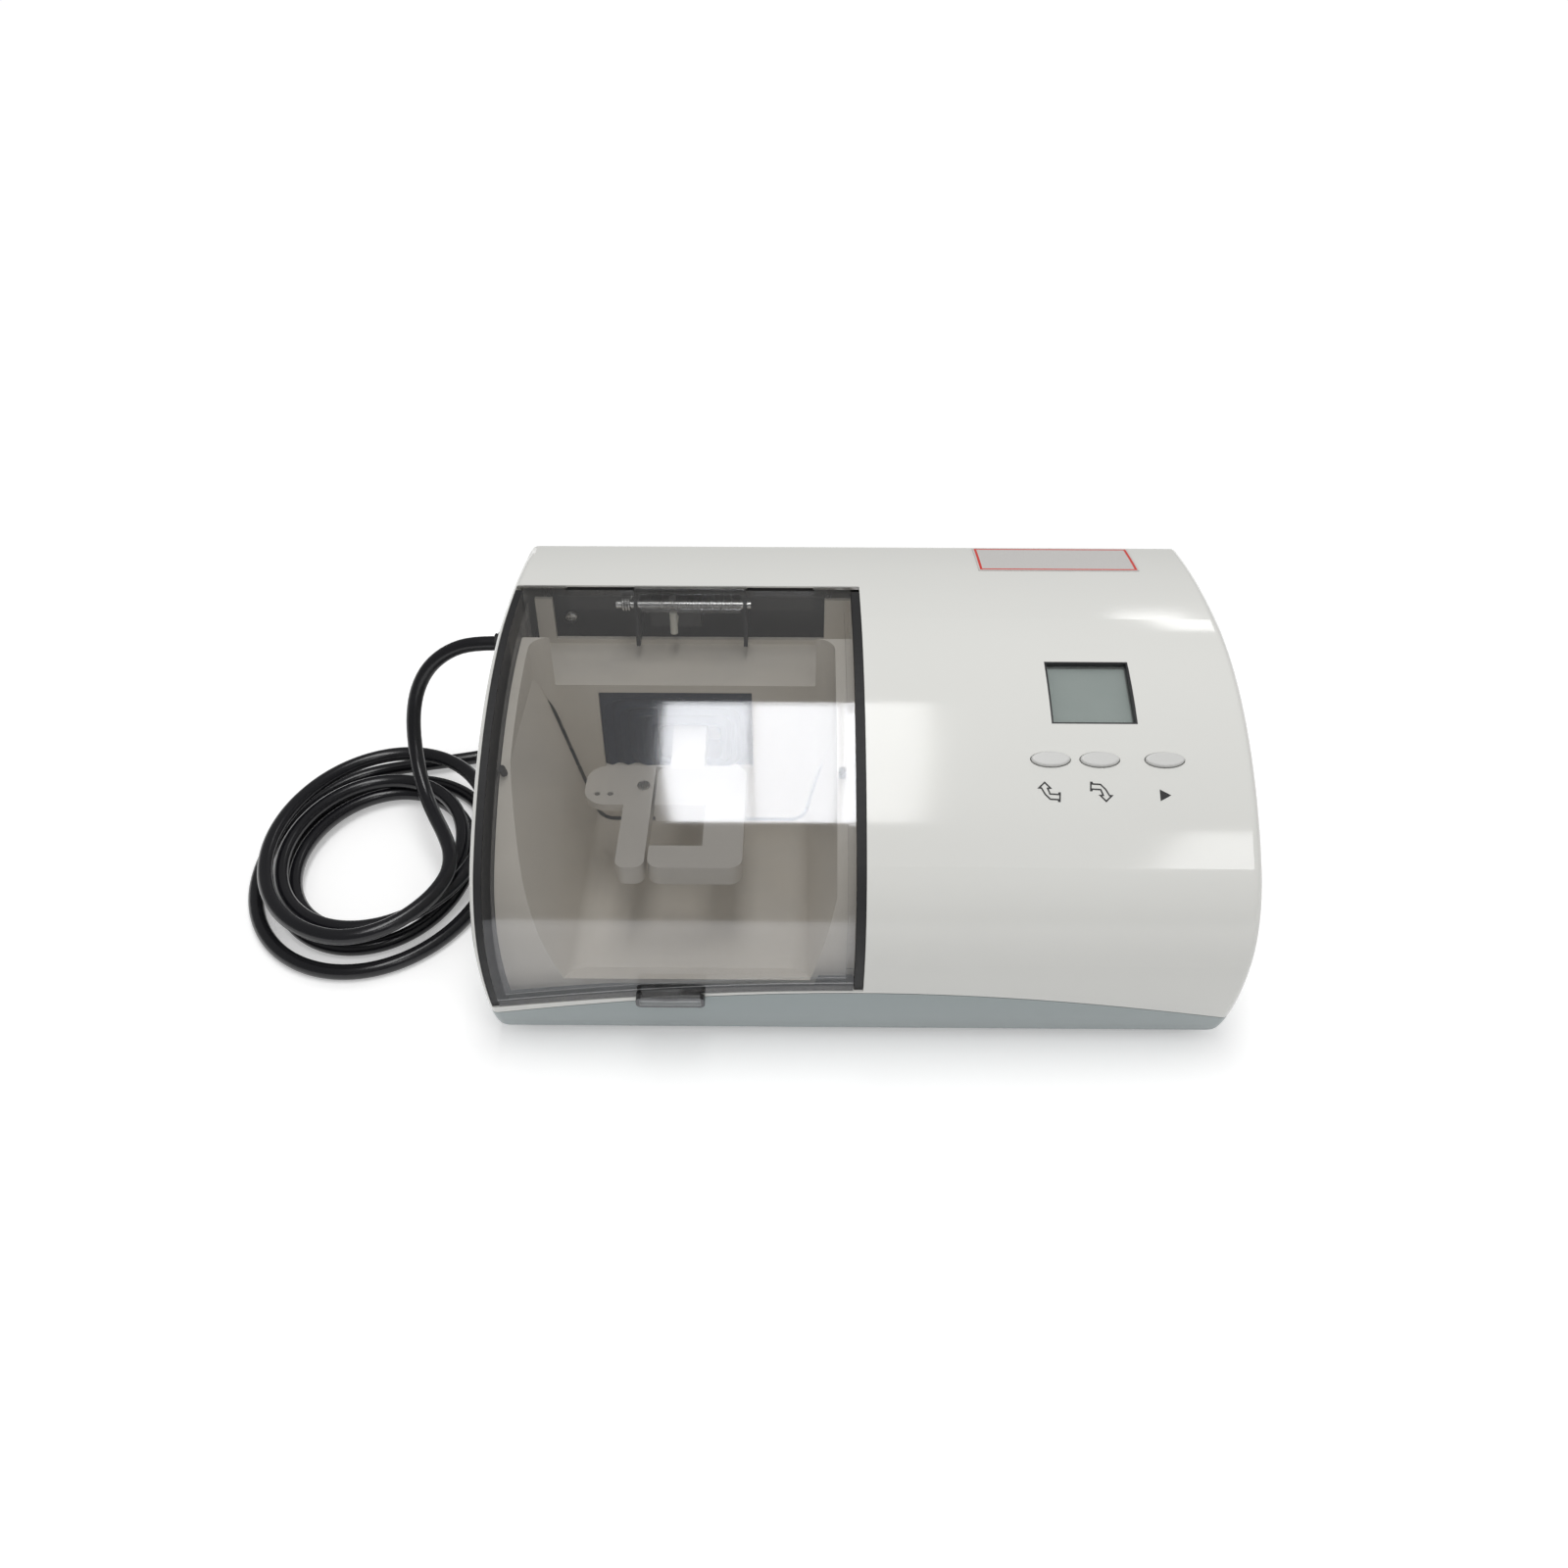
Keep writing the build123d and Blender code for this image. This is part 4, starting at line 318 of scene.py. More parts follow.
def worked_metal(name, colour, gloss, grain, grain_size, bump, tone=0.06, metal=1.0):
    """Metal with a grain of its own; grain is how the pattern is stretched on each axis."""
    material, shader, place = open_material(name)
    marks = noise(stretched(place, grain), grain_size, 4.0, 0.6)
    stains = noise(place, 35.0, 4.0, 0.55)
    fill(
        shader,
        Base_Color=blend_colours(
            marks * 0.5 + stains * 0.5, shade(colour, 1 - tone), shade(colour, 1 + tone)),
        Metallic=metal,
        Roughness=gloss + (marks - 0.5) * 0.16 + (stains - 0.5) * 0.1,
        Normal=raised(marks, bump),
    )
    return material


def plated_sheet():
    """Zinc-plated sheet with its large crystals."""
    material, shader, place = open_material("plated_sheet")
    crystals = place.node("ShaderNodeTexVoronoi", None, {"Vector": place, "Scale": 260.0}, output=1)
    level = crystals.node("ShaderNodeSeparateColor", None, {0: crystals})
    stains = noise(place, 40.0, 4.0)
    fill(
        shader,
        Base_Color=blend_colours(level, (0.52, 0.53, 0.53, 1.0), (0.64, 0.65, 0.64, 1.0)),
        Metallic=1.0,
        Roughness=0.34 + level * 0.12 + (stains - 0.5) * 0.12,
        Normal=raised(level, 0.000006),
    )
    return material


def stacked_iron():
    """Pressed steel sheets, stacked: fine dark lines across the stack, a coat of varnish over them."""
    material, shader, place = open_material("stacked_iron")
    sheets = place.node("ShaderNodeTexWave", {"bands_direction": "Y"},
                        {"Vector": place, "Scale": 320.0, "Distortion": 0.3, "Detail": 1.0}, output=1)
    tarnish = noise(place, 60.0, 4.0)
    mixed = sheets * 0.6 + tarnish * 0.4
    fill(
        shader,
        Base_Color=blend_colours(mixed, (0.05, 0.045, 0.042, 1.0), (0.17, 0.165, 0.16, 1.0)),
        Metallic=0.7,
        Roughness=0.45 + (tarnish - 0.5) * 0.2,
        Normal=raised(sheets, 0.00005),
    )
    return material


def wound_copper():
    """Enamelled wire laid side by side."""
    material, shader, place = open_material("wound_copper")
    turns = place.node("ShaderNodeTexWave", {"bands_direction": "Z"},
                       {"Vector": place, "Scale": 420.0, "Distortion": 0.6, "Detail": 1.5}, output=1)
    patches = noise(place, 80.0, 3.0)
    mixed = turns * 0.7 + patches * 0.3
    fill(
        shader,
        Base_Color=blend_colours(mixed, (0.20, 0.055, 0.02, 1.0), (0.72, 0.28, 0.11, 1.0)),
        Metallic=0.8,
        Roughness=0.28 + (patches - 0.5) * 0.15,
        Normal=raised(turns, 0.00008),
    )
    return material


turned_steel = worked_metal("turned_steel", (0.58, 0.58, 0.57), 0.26, (700.0, 60.0, 60.0), 1.0, 0.000008)
rolled_steel = worked_metal("rolled_steel", (0.55, 0.55, 0.54), 0.33, (25.0, 600.0, 600.0), 1.0, 0.000006)
cast_alloy = worked_metal("cast_alloy", (0.60, 0.605, 0.61), 0.42, even_grain, 700.0, 0.00004)
satin_alloy = worked_metal("satin_alloy", (0.69, 0.655, 0.60), 0.4, even_grain, 500.0, 0.00002,
                           tone=0.04, metal=0.25)
bronze = worked_metal("bronze", (0.55, 0.36, 0.16), 0.36, even_grain, 1200.0, 0.00002, tone=0.12)
# Painted shade: the hinge bracket's steel is near black so that the bay behind the lid's rear opening reads
# dark.
dark_steel_for_shade = worked_metal("painted_shade_steel", (0.04, 0.042, 0.045), 0.45, even_grain, 500.0, 0.00001,
                         tone=0.2)
plated = plated_sheet()
iron = stacked_iron()
copper = wound_copper()
print("metals ready")

# %% [markdown]
# ## Display, label and boards
# The unlit display is a grey-green liquid crystal behind glass: up close its dot grid just shows, and
# its gloss drifts a little. The label on the back edge is a blank plate
# with a printed red border; the border is a mask on the place, so it stays crisp at any size.

# %% Display glass
def crystal_grey():
    """An unlit display with its faint grid of dots."""
    material, shader, place = open_material("crystal_grey")
    dots = place.node("ShaderNodeTexChecker", None, {"Vector": place, "Scale": 2200.0}, output=1)
    cloud = noise(place, 60.0, 2.0)
    mixed = cloud * 0.85 + dots * 0.15
    fill(
        shader,
        Base_Color=blend_colours(mixed, (0.205, 0.248, 0.232, 1.0), (0.265, 0.308, 0.294, 1.0)),
        Roughness=0.2 + (cloud - 0.5) * 0.06,
        Normal=raised(dots, 0.000002),
    )
    return material


def clear_pane():
    """A thin clear window with wiped smears."""
    material, shader, place = open_material("clear_pane")
    smears = noise(stretched(place, (80.0, 200.0, 80.0)), 1.0, 4.0, 0.6)
    fill(
        shader,
        Base_Color=blend_colours(smears, (0.55, 0.60, 0.58, 1.0), (0.62, 0.66, 0.64, 1.0)),
        Roughness=0.04 + smears * 0.06,
        Alpha=0.10 + smears * 0.05,
        Specular_IOR_Level=1.0,
        Coat_Weight=0.6,
    )
    return material


def bordered_label(node, edge, inner):
    """A grey plate with a red line round it; edge and inner are the line's far and near distance."""
    material, shader, place = open_material("bordered_label")
    low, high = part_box(node)
    x = place.node("ShaderNodeSeparateXYZ", None, {0: place}, output=0)
    y = place.node("ShaderNodeSeparateXYZ", None, {0: place}, output=1)
    soft = 0.00006
    outer = band(x, low.x + edge, high.x - edge, soft) * band(y, low.y + edge, high.y - edge, soft)
    hole = band(x, low.x + inner, high.x - inner, soft) * band(y, low.y + inner, high.y - inner, soft)
    paper = noise(place, 900.0, 3.0)
    plate = blend_colours(paper, (0.545, 0.53, 0.515, 1.0), (0.585, 0.57, 0.555, 1.0))
    fill(
        shader,
        Base_Color=blend_colours(outer * (1 - hole), plate, (0.62, 0.045, 0.03, 1.0)),
        Roughness=0.35 + (paper - 0.5) * 0.1,
        Normal=raised(paper, 0.000006),
    )
    return material


lcd_grey = crystal_grey()
clear_glass = clear_pane()
label_plate = bordered_label("blank_label", 0.0006, 0.0016)
print("display and label ready")

# %% [markdown]
# A circuit board is glass cloth under green solder mask. Copper tracks lie under the mask and lift it
# a little, so one brick pattern drives both the tone and the bump, with the cloth's weave over it.

# %% Circuit board
def circuit_board():
    """Green solder mask over tracks and glass cloth."""
    material, shader, place = open_material("circuit_board")
    tracks = place.node(
        "ShaderNodeTexBrick", {"offset": 0.37, "offset_frequency": 3, "squash": 1.7, "squash_frequency": 2},
        {"Vector": place, "Color1": (0, 0, 0, 1), "Color2": (0, 0, 0, 1), "Mortar": (1, 1, 1, 1),
         "Scale": 130.0, "Mortar Size": 0.06, "Mortar Smooth": 0.1, "Brick Width": 0.9, "Row Height": 0.28},
        output=1,
    )
    weave = noise(place, 1900.0, 1.0)
    relief = tracks * 0.8 + weave * 0.2
    fill(
        shader,
        Base_Color=blend_colours(relief, (0.012, 0.075, 0.035, 1.0), (0.03, 0.19, 0.08, 1.0)),
        Roughness=0.32 + (weave - 0.5) * 0.12,
        Normal=raised(relief, 0.00003),
    )
    return material


board_green = circuit_board()
print("board ready")

# %% [markdown]
# ## Dressing the carried-over parts
# Most parts keep their machined shape and only take a finish. One table says which finish each wears.

# %% Finishes of the frame's own parts
worn_by = {
    shell_white: ["upper_housing"],
    base_grey: ["base_tray"],
    black_plastic: [
        "interlock_switch", "display_frame", "tact_switches", "board_parts", "power_switch",
        "fuse_holder", "fuse_cap", "rocker",
    ],
    key_plastic: ["key_up", "key_down", "key_start"],
    black_rubber: [
        # Painted shade: the lid seals are black strips that stand for the shadow in the gaps round the lid.
        "rubber_feet", "lid_seals", "lid_buffers", "plate_isolators", "strain_relief", "plug_body",
    ],
    boot_rubber: ["dust_boot"],
    nylon: ["arm_guide", "terminal_block", "lid_striker", "interlock_plunger"],
    tub_plastic: ["mixing_tub"],
    smoke: ["lid"],
    turned_steel: [
        "hinge_pin", "hinge_spring", "drive_shaft", "skew_journal", "arm_bearing", "jaw_pin",
        "lever_rivets", "case_screws", "inner_screws",
    ],
    rolled_steel: ["motor_strap", "plug_blades"],
    cast_alloy: ["motor_saddle", "pillow_block", "shaft_coupling", "counterweight"],
    satin_alloy: ["mixing_arm", "clamp_lever"],
    bronze: ["shaft_bushes"],
    plated: ["mechanism_plate", "motor_can"],
    # painted shade: the near-black bracket stands for the dark bay behind the lid
    dark_steel_for_shade: ["hinge_bracket"],
    iron: ["transformer_core", "motor_rotor"],
    copper: ["transformer_winding", "motor_stator"],
    lcd_grey: ["lcd_module"],
    clear_glass: ["display_window"],
    label_plate: ["blank_label"],
    board_green: ["display_board", "key_board", "control_board"],
    cord_jacket: ["cord_lead", "cord_tail", "cord_coil"],
}
for finish, names in worn_by.items():
    for name in names:
        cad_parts[name].material_slots[0].material = finish
print("dressed", sum(len(names) for names in worn_by.values()), "of", len(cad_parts), "nodes")

# %% [markdown]
# ## From a bmesh to a finished piece
# A new piece is shaped in a bmesh, then kept: it gets a mesh, a finish and the body it moves with.
# Round parts are turned, as on a lathe, from half an outline spun about its axis.

# %% Keeping a piece
def keep(shape, name, body, finish, stands_for=(), crease=38):
    """Makes a piece of a bmesh: smooth, but sharp where faces meet at more than crease degrees."""
    mesh = bpy.data.meshes.new(name)
    shape.to_mesh(mesh)
    shape.free()
    mesh.materials.append(finish)
    mesh.shade_smooth()
    mesh.set_sharp_from_angle(angle=math.radians(crease))
    piece = bpy.data.objects.new(name, mesh)
    bpy.context.scene.collection.objects.link(piece)
    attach(piece, body)
    if stands_for:
        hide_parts(*stands_for)
    size = [round(1000 * side, 1) for side in piece.dimensions]
    print(name, "faces", len(mesh.polygons), "size mm", size)
    return piece


def turn_profile(shape, outline, steps=40):
    """Spins an outline of (along, radius) pairs about Z and closes it."""
    points = [shape.verts.new((radius, 0.0, along)) for along, radius in outline]
    edges = [shape.edges.new(pair) for pair in zip(points, points[1:])]
    bmesh.ops.spin(shape, geom=points + edges, cent=(0, 0, 0), axis=(0, 0, 1), angle=2 * math.pi,
                   steps=steps, use_merge=True)
    bmesh.ops.remove_doubles(shape, verts=shape.verts, dist=0.000002)
    bmesh.ops.recalc_face_normals(shape, faces=shape.faces)


def place_shape(shape, point, axis=(0, 0, 1)):
    """Turns the shape's Z to an axis and moves it to a point."""
    turn = Vector((0, 0, 1)).rotation_difference(Vector(axis)).to_matrix().to_4x4()
    bmesh.ops.transform(shape, matrix=Matrix.Translation(point) @ turn, verts=shape.verts)


print("ready to model")

# %% [markdown]
# ## The mains cord
# A cord is one length of something flexible. This one leaves the left side through its bush, bends
# down under its own weight and lies in a loose coil before it runs behind the machine to its plug.
# It is one smooth curve: a spline whose control points are the route, with the coil's turns between
# the lead and the tail. Each turn has its own place in the pile, given by a share of the coil's width
# and a height, so that the turns cross over and rest on each other without passing through. The outer
# turns fan out at the back, and the top ones have slipped sideways, since nothing ties them.

# %% Cord route
lead_points = [
    (-0.1500, 0.0630, 0.0825), (-0.1600, 0.0630, 0.0825), (-0.1705, 0.0624, 0.0790),
    (-0.1795, 0.0608, 0.0722), (-0.1855, 0.0581, 0.0626), (-0.1882, 0.0538, 0.0518),
    (-0.1880, 0.0476, 0.0410), (-0.1856, 0.0393, 0.0324), (-0.1815, 0.0294, 0.0266),
    (-0.1760, 0.0190, 0.0244), (-0.1700, 0.0085, 0.0238), (-0.1650, -0.0025, 0.0232),
    (-0.1635, -0.0137, 0.0226), (-0.1665, -0.0247, 0.0221), (-0.1723, -0.0345, 0.0217),
    (-0.1801, -0.0425, 0.0212), (-0.1893, -0.0475, 0.0209),
]
tail_points = [
    (-0.2285, 0.0688, 0.0033), (-0.2190, 0.0745, 0.0034), (-0.2083, 0.0775, 0.0038),
    (-0.1966, 0.0795, 0.0043), (-0.1840, 0.0820, 0.0046), (-0.1700, 0.0857, 0.0046),
    (-0.1548, 0.0914, 0.0040), (-0.1390, 0.0984, 0.0035), (-0.1220, 0.1046, 0.0037),
    (-0.1055, 0.1088, 0.0064), (-0.0900, 0.1104, 0.0103), (-0.0770, 0.1104, 0.0103),
]
coil_middle = (-0.1995, 0.0115)
coil_mean = (0.0452, 0.0575)
coil_half_width = (0.0111, 0.0139)
coil_start_angle = -23.6
coil_turns = 4.6
points_per_turn = 32
coil_first_step = 6
fan, fan_angle = 0.14, 120
slip_reach, slip_turns = 0.004, 2.6
# where a strand lies after each full turn: share of the coil's width (-1 inside, 1 outside), height
coil_marks = [
    (0.45, 0.0218), (-0.3, 0.0156), (-1.0, 0.0094), (-0.75, 0.0033), (0.25, 0.0033), (0.85, 0.0033),
]


def coil_point(turn):
    """The strand's place after so many turns, clockwise from where the lead comes down."""
    mark = int(turn)
    part = turn - mark
    across, height = [a + part * (b - a) for a, b in zip(coil_marks[mark], coil_marks[mark + 1])]
    angle = math.radians(coil_start_angle - 360.0 * turn)
    across += fan * max(across, 0.0) * (1.0 + math.cos(angle - math.radians(fan_angle)))
    slip = slip_reach * max(0.0, 1.0 - turn / slip_turns)
    x = coil_middle[0] + (coil_mean[0] + coil_half_width[0] * across) * math.cos(angle)
    y = coil_middle[1] + (coil_mean[1] + coil_half_width[1] * across) * math.sin(angle)
    return x + slip * math.sin(2.6 * turn), y + slip * math.sin(1.7 * turn), height


coil_steps = range(coil_first_step, int(coil_turns * points_per_turn))
coil_points = [coil_point(step / points_per_turn) for step in coil_steps]
route = lead_points + coil_points + tail_points
print("route has", len(route), "points,", len(coil_points), "in the coil")

# %% Cord
cord_diameter = 0.0062
cord_curve = bpy.data.curves.new("mains_cord", "CURVE")
cord_curve.dimensions = "3D"
cord_curve.bevel_depth = cord_diameter / 2
cord_curve.bevel_resolution = 5
cord_curve.resolution_u = 4
cord_curve.use_fill_caps = True
strand = cord_curve.splines.new("NURBS")
strand.points.add(len(route) - 1)
for point, place in zip(strand.points, route):
    point.co = (*place, 1.0)
strand.order_u = 3
strand.use_endpoint_u = True
cord_curve.materials.append(cord_jacket)
mains_cord = bpy.data.objects.new("mains_cord", cord_curve)
bpy.context.scene.collection.objects.link(mains_cord)
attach(mains_cord, "base")
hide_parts("cord_lead", "cord_tail", "cord_coil")

# %% [markdown]
# ## The cord's two ends
# Where the cord enters the case, a bush grips it so that a pull never reaches the wires: a flange
# outside, a nut inside, and a ribbed tail that bends with the cord. It is one turned outline; the ribs
# are steps in it. The nut is a six-sided cone with a small bevel.

# %% Cord bush
def ribs(start, end, start_radius, end_radius, count, depth):
    """Outline points of a tapering row of ribs."""
    points = []
    width = (end - start) / count
    for index in range(count):
        at = start + (end - start) * index / count
        radius = start_radius + (end_radius - start_radius) * index / count
        points += [(at, radius), (at + 0.55 * width, radius), (at + 0.7 * width, radius - depth),
                   (at + 0.95 * width, radius - depth)]
    return points


bush = bmesh.new()
turn_profile(bush, [
    (0.0079, 0.0), (0.0079, 0.0059), (0.0105, 0.0059), (0.0105, 0.0076), (0.0109, 0.0080),
    (0.0121, 0.0080), (0.0126, 0.0075), *ribs(0.0128, 0.0248, 0.0060, 0.0046, 6, 0.0008),
    (0.0252, 0.0043), (0.0255, 0.0040), (0.0255, 0.0),
])
nut = bmesh.ops.create_cone(bush, cap_ends=True, segments=6, radius1=0.0080, radius2=0.0080, depth=0.0078)
bmesh.ops.translate(bush, verts=nut["verts"], vec=(0, 0, 0.0039))
nut_rims = [edge for edge in bush.edges if all(vert in nut["verts"] for vert in edge.verts)]
bmesh.ops.bevel(bush, geom=nut_rims, offset=0.0005, segments=2, profile=0.5, affect="EDGES", material=-1)
place_shape(bush, (-0.1245, 0.0630, 0.0825), (-1, 0, 0))
keep(bush, "cord_bush", "base", black_rubber, ["strain_relief"])

# %% [markdown]
# The plug is moulded round its blades. It starts as a box with rounded edges. Its top and bottom get a
# sunken field with raised ribs, so that dry fingers can pull it, and its tail is ribbed like the bush.

# %% Plug
plug_middle = (-0.0440, 0.1104, 0.0103)
plug_tail_end = (-0.0770, 0.1104, 0.0103)
plug = bmesh.new()
plug_box = bmesh.ops.create_cube(plug, size=1.0)
bmesh.ops.scale(plug, vec=(0.0340, 0.0250, 0.0200), verts=plug_box["verts"])
bmesh.ops.bevel(plug, geom=plug.edges[:], offset=0.0038, segments=5, profile=0.5, affect="EDGES",
                material=-1)
fields = [face for face in plug.faces if abs(face.normal.z) > 0.99]
for field in fields:
    bmesh.ops.inset_region(plug, faces=[field], thickness=0.0020, depth=0.0)
    bmesh.ops.inset_region(plug, faces=[field], thickness=0.0005, depth=-0.0009)
for side in (-1, 1):
    for index in range(5):
        rib = bmesh.ops.create_cube(plug, size=1.0)
        bmesh.ops.scale(plug, vec=(0.0016, 0.0115, 0.0018), verts=rib["verts"])
        bmesh.ops.translate(plug, verts=rib["verts"], vec=(-0.0080 + 0.0040 * index, 0, side * 0.0090))
        rims = list({edge for vert in rib["verts"] for edge in vert.link_edges})
        bmesh.ops.bevel(plug, geom=rims, offset=0.0004, segments=2, profile=0.5, affect="EDGES",
                        material=-1)
bmesh.ops.translate(plug, verts=plug.verts, vec=plug_middle)
tail = bmesh.new()
turn_profile(tail, [
    (0.0, 0.0), (0.0, 0.0042), *ribs(0.0004, 0.0150, 0.0044, 0.0063, 6, 0.0008), (0.0152, 0.0066),
    (0.0172, 0.0070), (0.0172, 0.0),
])
place_shape(tail, plug_tail_end, (1, 0, 0))
tail_mesh = bpy.data.meshes.new("plug_tail")
tail.to_mesh(tail_mesh)
tail.free()
plug.from_mesh(tail_mesh)
plug_piece = keep(plug, "plug", "base", black_rubber, ["plug_body"])

# %% The cord is done
print("cord and its two ends built")

# %% [markdown]
# ## Hinge spring
# A torsion spring round the end of the hinge pin helps the lid up. Its wire's round section is swept
# round the pin, and moved a little along it at every step, which makes the helix. The two ends run
# out straight as the legs that push on the bracket and the lid.

# %% Spring
spring_end = (-0.0881, 0.0385, 0.1168)
wire_radius, coil_radius, coil_pitch, spring_turns = 0.00052, 0.0020, 0.00112, 3.5
leg_length, steps_per_turn = 0.0026, 28
spring = bmesh.new()
section = bmesh.ops.create_circle(spring, segments=14, radius=wire_radius)
bmesh.ops.rotate(spring, verts=section["verts"], matrix=Matrix.Rotation(math.pi / 2, 3, "X"))
bmesh.ops.translate(spring, verts=section["verts"], vec=(coil_radius, 0, 0))
spring_steps = int(steps_per_turn * spring_turns)
bmesh.ops.spin(
    spring, geom=spring.verts[:] + spring.edges[:], cent=(0, 0, 0), axis=(0, 0, 1),
    dvec=(0, 0, coil_pitch * spring_turns / spring_steps), angle=2 * math.pi * spring_turns,
    steps=spring_steps,
)
caps = bmesh.ops.holes_fill(spring, edges=[edge for edge in spring.edges if edge.is_boundary])["faces"]
bmesh.ops.recalc_face_normals(spring, faces=spring.faces)
for cap in list(caps):
    leg = bmesh.ops.extrude_face_region(spring, geom=[cap])
    tips = [item for item in leg["geom"] if isinstance(item, bmesh.types.BMVert)]
    bmesh.ops.translate(spring, verts=tips, vec=cap.normal * leg_length)
    bmesh.ops.delete(spring, geom=[cap], context="FACES_ONLY")
place_shape(spring, spring_end, (-1, 0, 0))
keep(spring, "lid_spring", "base", turned_steel, ["hinge_spring"])

# %% [markdown]
# ## Screws
# The screws have pan heads with a cross recess. A head is turned like any round part; then the points
# of its recess are drawn in between the four arms of the cross, which turns a round pit into a cross.

# %% Screws
def add_screw(shape, seat, axis, head_radius, head_height, shank_radius, shank_length):
    """One screw whose head sits on seat and faces along axis."""
    one = bmesh.new()
    recess_floor = head_height - 0.0011
    turn_profile(one, [
        (-shank_length, 0.0), (-shank_length, 0.4 * shank_radius), (0.0008 - shank_length, shank_radius),
        (0.0, shank_radius), (0.0, 0.97 * head_radius), (0.0003, head_radius),
        (0.45 * head_height, head_radius), (0.8 * head_height, 0.88 * head_radius),
        (head_height, 0.66 * head_radius), (head_height, 0.60 * head_radius),
        (recess_floor, 0.50 * head_radius), (recess_floor, 0.0),
    ], steps=32)
    for vert in one.verts:
        reach = vert.co.xy.length
        in_recess = vert.co.z > recess_floor - 0.00001 and 0.0001 < reach < 0.63 * head_radius
        if in_recess and math.cos(4 * math.atan2(vert.co.y, vert.co.x)) < 0.6:
            vert.co.x *= 0.36
            vert.co.y *= 0.36
    place_shape(one, seat, axis)
    one_mesh = bpy.data.meshes.new("screw")
    one.to_mesh(one_mesh)
    one.free()
    shape.from_mesh(one_mesh)
    bpy.data.meshes.remove(one_mesh)


fixing_size = (0.0030, 0.0018, 0.0014, 0.0060)
below = bmesh.new()
for x, y in [(0.122, -0.058), (0.1245, 0.079), (-0.1245, 0.079), (-0.096, -0.052), (-0.030, -0.052)]:
    add_screw(below, (x, y, 0.0140), (0, 0, -1), 0.0030, 0.0024, 0.0015, 0.0082)
keep(below, "casing_screws", "base", turned_steel, ["case_screws"])

within = bmesh.new()
for x in (-0.094, 0.082):
    for y in (0.030, 0.078):
        add_screw(within, (x, y, 0.0260), (0, 0, 1), *fixing_size)
for x in (0.024, 0.108):
    for y in (-0.048, 0.008):
        add_screw(within, (x, y, 0.0156), (0, 0, 1), *fixing_size)
add_screw(within, (-0.1155, 0.0560, 0.1005), (0, -1, 0), *fixing_size)
keep(within, "fixing_screws", "base", turned_steel, ["inner_screws"])

# %% [markdown]
# ## Dust boot
# A rubber boot closes the window behind the tub and lets the arm through. It is pleated like bellows,
# so that it follows the arm's swing: rounded rectangles, each smaller than the last and alternately
# nearer and farther, bridged into one skin and given a thickness.

# %% Boot
def rounded_loop(shape, middle, half_size, depth, squareness=0.28):
    """A closed loop in a plane of constant Y, between an ellipse and a rectangle."""
    loop = bmesh.ops.create_circle(shape, segments=64, radius=1.0)["verts"]
    for vert in loop:
        across, along = vert.co.x, vert.co.y
        across = math.copysign(abs(across) ** squareness, across)
        along = math.copysign(abs(along) ** squareness, along)
        vert.co = (middle[0] + half_size[0] * across, depth, middle[1] + half_size[1] * along)
    return list({edge for vert in loop for edge in vert.link_edges})


boot = bmesh.new()
outer_middle, outer_half = (-0.0710, 0.0699), (0.0348, 0.0212)
inner_middle, inner_half = (-0.0660, 0.0640), (0.0126, 0.0088)
pleat_depths = [0.0200, 0.0200, 0.0185, 0.0205, 0.0185, 0.0205, 0.0185, 0.0205, 0.0185, 0.0200]
loops = []
for index, depth in enumerate(pleat_depths):
    share = 0.0 if index == 0 else (0.12 + 0.88 * (index - 1) / (len(pleat_depths) - 2))
    middle = [a + share * (b - a) for a, b in zip(outer_middle, inner_middle)]
    half = [a + share * (b - a) for a, b in zip(outer_half, inner_half)]
    loops.append(rounded_loop(boot, middle, half, depth))
for first, second in zip(loops, loops[1:]):
    bmesh.ops.bridge_loops(boot, edges=first + second)
bmesh.ops.recalc_face_normals(boot, faces=boot.faces)
bmesh.ops.solidify(boot, geom=boot.faces[:], thickness=0.0006)
bmesh.ops.recalc_face_normals(boot, faces=boot.faces)
keep(boot, "pleated_boot", "base", boot_rubber, ["dust_boot"], crease=50)

# %% [markdown]
# ## Printed signs
# The signs under the keys are screen printed: a thin line of ink that follows the slope. Each sign is a
# flat outline shape, set on the plane that touches the housing there and lifted by the ink's thickness.
# Two bent arrows mark shorter and longer, and a triangle marks start.

# %% Ink signs
ink = moulded("black_ink", (0.012, 0.012, 0.013), 0.45, tone=0.1, peel=0.000004)
white_ink = moulded("white_ink", (0.72, 0.72, 0.70), 0.4, tone=0.03, peel=0.000004)
crown_middle_y, crown_middle_z, crown_radius = 0.020, -0.0152, 0.138


def set_on_slope(shape, x, y, lift=0.00002):
    """Moves a shape drawn in X and Y onto the housing's front slope at a place."""
    lean = math.asin((crown_middle_y - y) / crown_radius)
    normal = Vector((0, -math.sin(lean), math.cos(lean)))
    point = Vector((x, crown_middle_y, crown_middle_z)) + normal * (crown_radius + lift)
    turn = Matrix((Vector((1, 0, 0)), normal.cross(Vector((1, 0, 0))), normal)).transposed().to_4x4()
    bmesh.ops.transform(shape, matrix=Matrix.Translation(point) @ turn, verts=shape.verts)


ink_thickness = 0.00004


